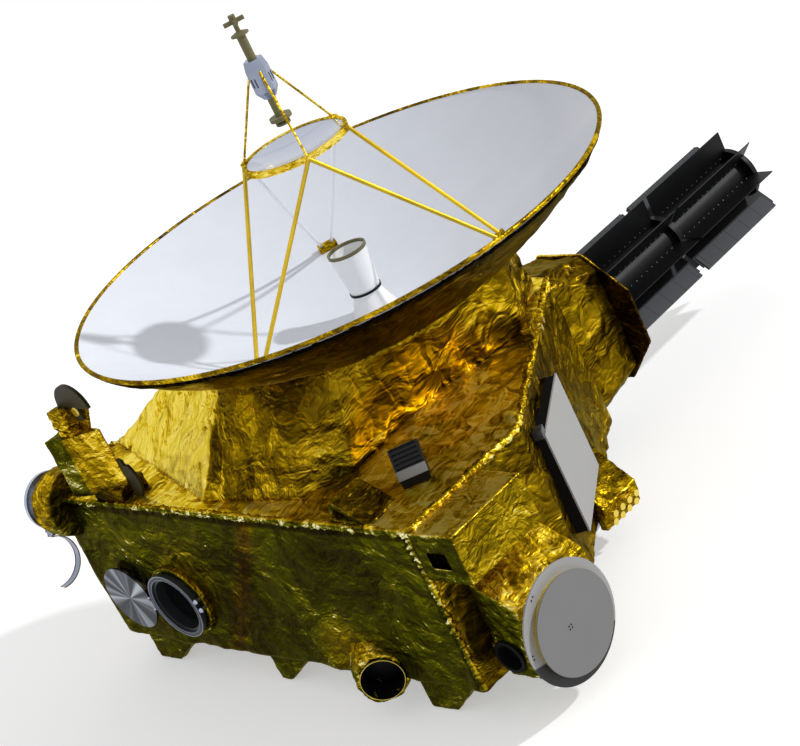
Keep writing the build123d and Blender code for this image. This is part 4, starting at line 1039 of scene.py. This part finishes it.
@dataclass
class Instruments:
    """The instruments on the body."""

    finishes: Finishes
    tracker_mouth: tuple[float, float, float] = (0.427, -0.985, 0.179)
    tracker_way: tuple[float, float, float] = (0.70711, -0.70711, 0.0)

    def build(self) -> None:
        """Wraps the housings and dresses the rest."""
        f = self.finishes
        # Painted light on the imager's top faces.
        Blanket("imager_body", f.film_small, 0.006, Crumple(0.003, 0.004, 0.0014, 0.1, 31),
                lift=lambda p, n: 0.02 + 0.17 * rise(0.1, 0.6, n[:, 2])).build()
        Blanket("spectrometer", f.film_small, 0.0045, Crumple(0.001, 0.0022, 0.0009, 0.09, 35),
                shade=self._front, lift=self._aperture).build()
        Blanket("particle_box", f.film_small, 0.0048, Crumple(0.002, 0.003, 0.0012, 0.08, 33),
                shade=self._box_shade, lift=self._box_lift).build()
        # Painted shade, as olive film, on the head's faces to -X and underneath.
        Blanket("particle_head", f.film_small, 0.0035, Crumple(0.003, 0.006, 0.0016, 0.05, 37),
                shade=lambda p, n: rise(0.1, 0.5, -n[:, 0] - 0.5 * n[:, 2])).build()
        Blanket("fan_upright", f.film_small, 0.003, Crumple(0.001, 0.0014, 0.0007, 0.05, 39),
                shade=no_lift).build()
        Blanket("drum_body", f.film_small, 0.0055, Crumple(0.004, 0.005, 0.0015, 0.1, 41),
                shade=self._drum_shade).build()
        Blanket("telescope_collar", f.film_small, 0.0036, Crumple(0.001, 0.0035, 0.0012, 0.05,
                43), lift=lambda p, n: np.full(len(p), 0.06)).build()
        dress(f.black, "star_tracker", "plate_frame", "drum_aperture", "imager_eye",
              "louvre_foot")
        dress(f.lip, "telescope_tube")
        dress(f.gold_smooth, "cooler_band")
        dress(f.silver, "telescope_hinge", "drum_dome", "drum_bracket")
        dress(f.cover, "drum_cover")
        dress(f.door, "telescope_door")
        dress(f.pale_grey, "radiator_plate")
        dress(f.ring_grey, "cooler_ring")
        dress(f.grey, "cooler_disc")
        dress(f.satin_black, "louvre_box")
        dress(f.brown, "particle_fan", "side_fan")
        self._tracker_cowl()
        self._cover_trim()
        self._fan_hub()
        self._louvre_strip()
        Shapes().block((0.838, -0.226, 0.706), (0.036, 0.05, 0.034), 34.6, 0, 0.002).add(
            "plate_bracket", f.lip, "grey_paint")
        self._radiator_marks()
        self._telescope_trim()

    @staticmethod
    def _front(points: np.ndarray, ways: np.ndarray) -> np.ndarray:
        """Painted shade, as olive film, on the front, half as much on the right side."""
        return np.clip(rise(0.5, 0.8, -ways[:, 1]) + 0.35 * rise(0.5, 0.8, ways[:, 0]), 0, 1)

    @staticmethod
    def _aperture(points: np.ndarray, ways: np.ndarray) -> np.ndarray:
        """Painted shade, black, inside the slot of the box's front; painted light on the top
        and on the right side below the top.
        """
        x, y, z = points.T
        inside = (np.abs(x - 0.971) < 0.0475) & (np.abs(z - 0.695) < 0.0335) & (y > -0.9215)
        top = rise(0.4, 0.8, ways[:, 2])
        side = rise(0.4, 0.8, ways[:, 0]) * (1 - rise(0.77, 0.79, z))
        return np.where(inside & (y < -0.88), -2.0, 0.36 * top + 0.14 * side)

    @staticmethod
    def _box_shade(points: np.ndarray, ways: np.ndarray) -> np.ndarray:
        """Painted shade, as olive film, on the narrow left side."""
        return np.clip(rise(-0.838, -0.85, points[:, 0]) + 0.0, 0, 1)

    @staticmethod
    def _box_lift(points: np.ndarray, ways: np.ndarray) -> np.ndarray:
        """Painted shade at the foot."""
        foot = 1 - rise(0.868, 0.9, points[:, 2] + 0.012 * cloud(points, 12.0))
        return 0.14 - 0.45 * foot

    @staticmethod
    def _drum_shade(points: np.ndarray, ways: np.ndarray) -> np.ndarray:
        """Painted shade, as olive film, at the lower right of the drum."""
        return rise(-0.2, 0.7, -ways[:, 2] + 6 * (points[:, 0] + 1.19))

    def _tracker_cowl(self) -> None:
        """A crinkled film cowl round the star tracker's tube, and its bright mouth."""
        mouth, way = Vector(self.tracker_mouth), Vector(self.tracker_way)
        shapes = Shapes()
        shapes.turned(mouth, way, ((-0.21, 0.081), (-0.012, 0.081), (-0.012, 0.09),
                                   (-0.08, 0.104), (-0.21, 0.124)))
        mesh = bpy.data.meshes.new("cowl_base")
        shapes.bm.to_mesh(mesh)
        shapes.bm.free()
        # Painted light on the cowl's top faces.
        Blanket("tracker_cowl", self.finishes.film_small, 0.0042,
                Crumple(0.002, 0.005, 0.0018, 0.06, 45),
                lift=lambda p, n: 0.05 + 0.2 * rise(0.2, 0.8, n[:, 2])).cover(mesh)
        Shapes().turned(mouth, way, ((-0.004, 0.0778), (0.001, 0.0778), (0.001, 0.0796),
                                     (-0.004, 0.0806))).add(
            "tracker_mouth", self.finishes.gold_smooth, "foil")
        Shapes().rod(mouth - way * 0.128, mouth - way * 0.122, 0.05, sides=48).add(
            "tracker_glass", self.finishes.satin_black, "dark")

    def _cover_trim(self) -> None:
        """A gold rolled edge along the drum cover's inner side."""
        way = math.radians(249.4)
        pin = Vector((0, -0.885 + 0.127 * math.cos(math.radians(223.4)),
                      0.761 + 0.127 * math.sin(math.radians(223.4))))
        out = Vector((0, math.cos(way), math.sin(way)))
        centre = pin + out * 0.127 + Vector((-1.262, 0, 0))
        shapes = Shapes()
        first = [shapes.bm.verts.new(centre - out * r + Vector((x, 0, 0)))
                 for x, r in ((-0.004, 0.1055), (0.0015, 0.1055), (0.0015, 0.1085),
                              (-0.004, 0.1085))]
        edges = [shapes.bm.edges.new((first[k - 1], first[k])) for k in range(4)]
        bmesh.ops.spin(shapes.bm, geom=first + edges, cent=centre, axis=(-1, 0, 0),
                       angle=math.radians(173), steps=48)
        bmesh.ops.holes_fill(shapes.bm, edges=shapes.bm.edges, sides=4)
        shapes.add("cover_trim", self.finishes.film_bright, "foil", "drum_lid")

    def _fan_hub(self) -> None:
        """Gold hub disc on the upper fan."""
        Shapes().rod((-0.756, -0.8895, 1.2), (-0.756, -0.894, 1.2), 0.02, 0.018, 32).add(
            "fan_hub", self.finishes.gold_smooth, "foil")

    def _louvre_strip(self) -> None:
        """Light strip across the lower part of the slotted box."""
        azimuth, tilt = math.radians(-43), math.radians(34)
        out = Vector((math.cos(azimuth) * math.cos(tilt), math.sin(azimuth) * math.cos(tilt),
                      math.sin(tilt)))
        up = Vector((-math.cos(azimuth) * math.sin(tilt), -math.sin(azimuth) * math.sin(tilt),
                     math.cos(tilt)))
        centre = Vector((0.692, -0.667, 0.83)) + up * 0.018 + out * 0.0018
        Shapes().block(centre, (0.003, 0.106, 0.034), -43, -34, 0.0006).add(
            "louvre_strip", self.finishes.grey, "grey_paint")

    def _radiator_marks(self) -> None:
        """Small holes on the round radiator and its ring."""
        shapes = Shapes()
        face, middle = 1.1742, (-0.69, 0.29)
        for dy, dz in ((0.006, 0.006), (-0.006, 0.006), (0.006, -0.006), (-0.006, -0.006)):
            y, z = middle[0] - 0.028 + dy, middle[1] + 0.005 + dz
            shapes.rod((face - 0.002, y, z), (face + 0.0005, y, z), 0.0032, sides=10)
        for angle in (118, 122, 176, 180):
            a = math.radians(angle)
            y, z = middle[0] + 0.197 * math.cos(a), middle[1] + 0.197 * math.sin(a)
            shapes.rod((1.146, y, z), (1.1476, y, z), 0.0034, sides=10)
        shapes.add("radiator_holes", self.finishes.black, "dark")

    def _telescope_trim(self) -> None:
        """Baffles down the bore, a bright edge on the lip and two knobs beside it."""
        centre, way = Vector((-0.653, -0.98, 0.373)), Vector((0, -1, 0))
        rim = Shapes().turned(centre, way, ((-0.003, 0.1385), (0.0015, 0.1385),
                                            (0.0015, 0.1418), (-0.003, 0.1418)))
        rim.turned(centre, way, ((-0.003, 0.1238), (0.0012, 0.1238), (0.0012, 0.1256),
                                 (-0.003, 0.1256)))
        rim.add("telescope_rim", self.finishes.hub, "dark")
        baffles = Shapes()
        for depth in (0.05, 0.12, 0.2, 0.29):
            baffles.turned(centre, way, ((-depth - 0.002, 0.1116), (-depth, 0.1116),
                                         (-depth, 0.098), (-depth - 0.001, 0.098)))
        baffles.rod(centre - way * 0.41, centre - way * 0.4, 0.1, sides=48)
        baffles.add("telescope_baffles", self.finishes.black, "dark")
        knobs = Shapes()
        for dx, dz in ((0.15, 0.035), (0.158, -0.002)):
            at = centre + Vector((dx, 0.03, dz))
            knobs.rod(at, at + way * 0.026, 0.0085, sides=16)
            knobs.button(at + way * 0.026, way, 0.011, 0.006)
        knobs.add("telescope_knobs", self.finishes.silver, "hub_metal")


# Stage ------------------------------------------------------------------------------------

@dataclass
class Stage:
    """Pale floor, soft light and the camera."""

    half_floor: float = 9.0
    fill: float = 0.5
    sun_way: tuple[float, float, float] = (0.573, 0.607, 0.551)
    sun_power: float = 1.9
    sun_spread: float = 2.5
    eye: tuple[float, float, float] = (6.223, -4.529, 3.902)
    right: tuple[float, float, float] = (0.659, 0.629, -0.412)
    down: tuple[float, float, float] = (0.012, -0.556, -0.831)
    lens: float = 100.2
    shift: tuple[float, float] = (0.0011, 0.002)

    def build(self) -> None:
        """Builds the floor, the lights and the camera."""
        self._floor()
        self._world()
        self._sun()
        self._camera()

    def _floor(self) -> None:
        """A plain pale floor that keeps the shadow."""
        bm = bmesh.new()
        bmesh.ops.create_grid(bm, x_segments=2, y_segments=2, size=self.half_floor)
        bmesh.ops.translate(bm, verts=bm.verts, vec=(0, 0, -0.001))
        mesh = bpy.data.meshes.new("floor")
        bm.to_mesh(mesh)
        bm.free()
        floor = bpy.data.objects.new("floor", mesh)
        bpy.context.scene.collection.objects.link(floor)
        s = Shader("pale_floor")
        ray = s.node("ShaderNodeLightPath", {}, {})
        sight = ray["Is Camera Ray"].top(ray["Is Glossy Ray"]).top(ray["Is Transmission Ray"])
        s.feed({"Base Color": (0.86, 0.86, 0.86), "Roughness": 0.9, "Specular IOR Level": 0.1,
                "Emission Strength": 1.0,
                "Emission Color": s.blend(sight, (0.0, 0.0, 0.0), (0.42, 0.42, 0.42))})
        mesh.materials.append(s.material)

    def _world(self) -> None:
        """An even fill, and white wherever the world is seen."""
        world = bpy.data.worlds.new("studio")
        bpy.context.scene.world = world
        world.use_nodes = True
        tree = world.node_tree
        ray = tree.nodes.new("ShaderNodeLightPath")
        first = tree.nodes.new("ShaderNodeMath")
        second = tree.nodes.new("ShaderNodeMath")
        mix = tree.nodes.new("ShaderNodeMix")
        mix.data_type = "FLOAT"
        first.operation = second.operation = "MAXIMUM"
        tree.links.new(ray.outputs["Is Camera Ray"], first.inputs[0])
        tree.links.new(ray.outputs["Is Glossy Ray"], first.inputs[1])
        tree.links.new(first.outputs[0], second.inputs[0])
        tree.links.new(ray.outputs["Is Transmission Ray"], second.inputs[1])
        tree.links.new(second.outputs[0], mix.inputs[0])
        mix.inputs[2].default_value = self.fill
        mix.inputs[3].default_value = 1.0
        back = tree.nodes["Background"]
        back.inputs["Color"].default_value = (1, 1, 1, 1)
        tree.links.new(mix.outputs[0], back.inputs["Strength"])

    def _sun(self) -> None:
        """A soft key light from behind, above and to the right."""
        light = bpy.data.lights.new("key", "SUN")
        light.energy = self.sun_power
        light.angle = math.radians(self.sun_spread)
        obj = bpy.data.objects.new("key", light)
        obj.rotation_euler = Vector(self.sun_way).to_track_quat("Z", "Y").to_euler()
        bpy.context.scene.collection.objects.link(obj)

    def _camera(self) -> None:
        """The camera, at the object's shown angle."""
        data = bpy.data.cameras.new("camera")
        data.lens = self.lens
        data.sensor_width = 36.0
        data.shift_x, data.shift_y = self.shift
        data.clip_end = 100
        right = Vector(self.right).normalized()
        up = -Vector(self.down)
        up = (up - right * up.dot(right)).normalized()
        turn = Matrix((right, up, right.cross(up))).transposed()
        obj = bpy.data.objects.new("camera", data)
        obj.matrix_world = Matrix.Translation(Vector(self.eye)) @ turn.to_4x4()
        bpy.context.scene.collection.objects.link(obj)
        bpy.context.scene.camera = obj


def main() -> None:
    """Builds every sub-assembly in order and reports each piece."""
    logging.basicConfig(level=logging.INFO, format="%(name)s %(message)s")
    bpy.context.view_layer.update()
    bpy.context.scene.view_settings.view_transform = "Standard"
    finishes = Finishes().make()
    for part in (Body, Dish, Generator, Instruments):
        part(finishes).build()
    Stage().build()


if __name__ == "__main__":
    main()
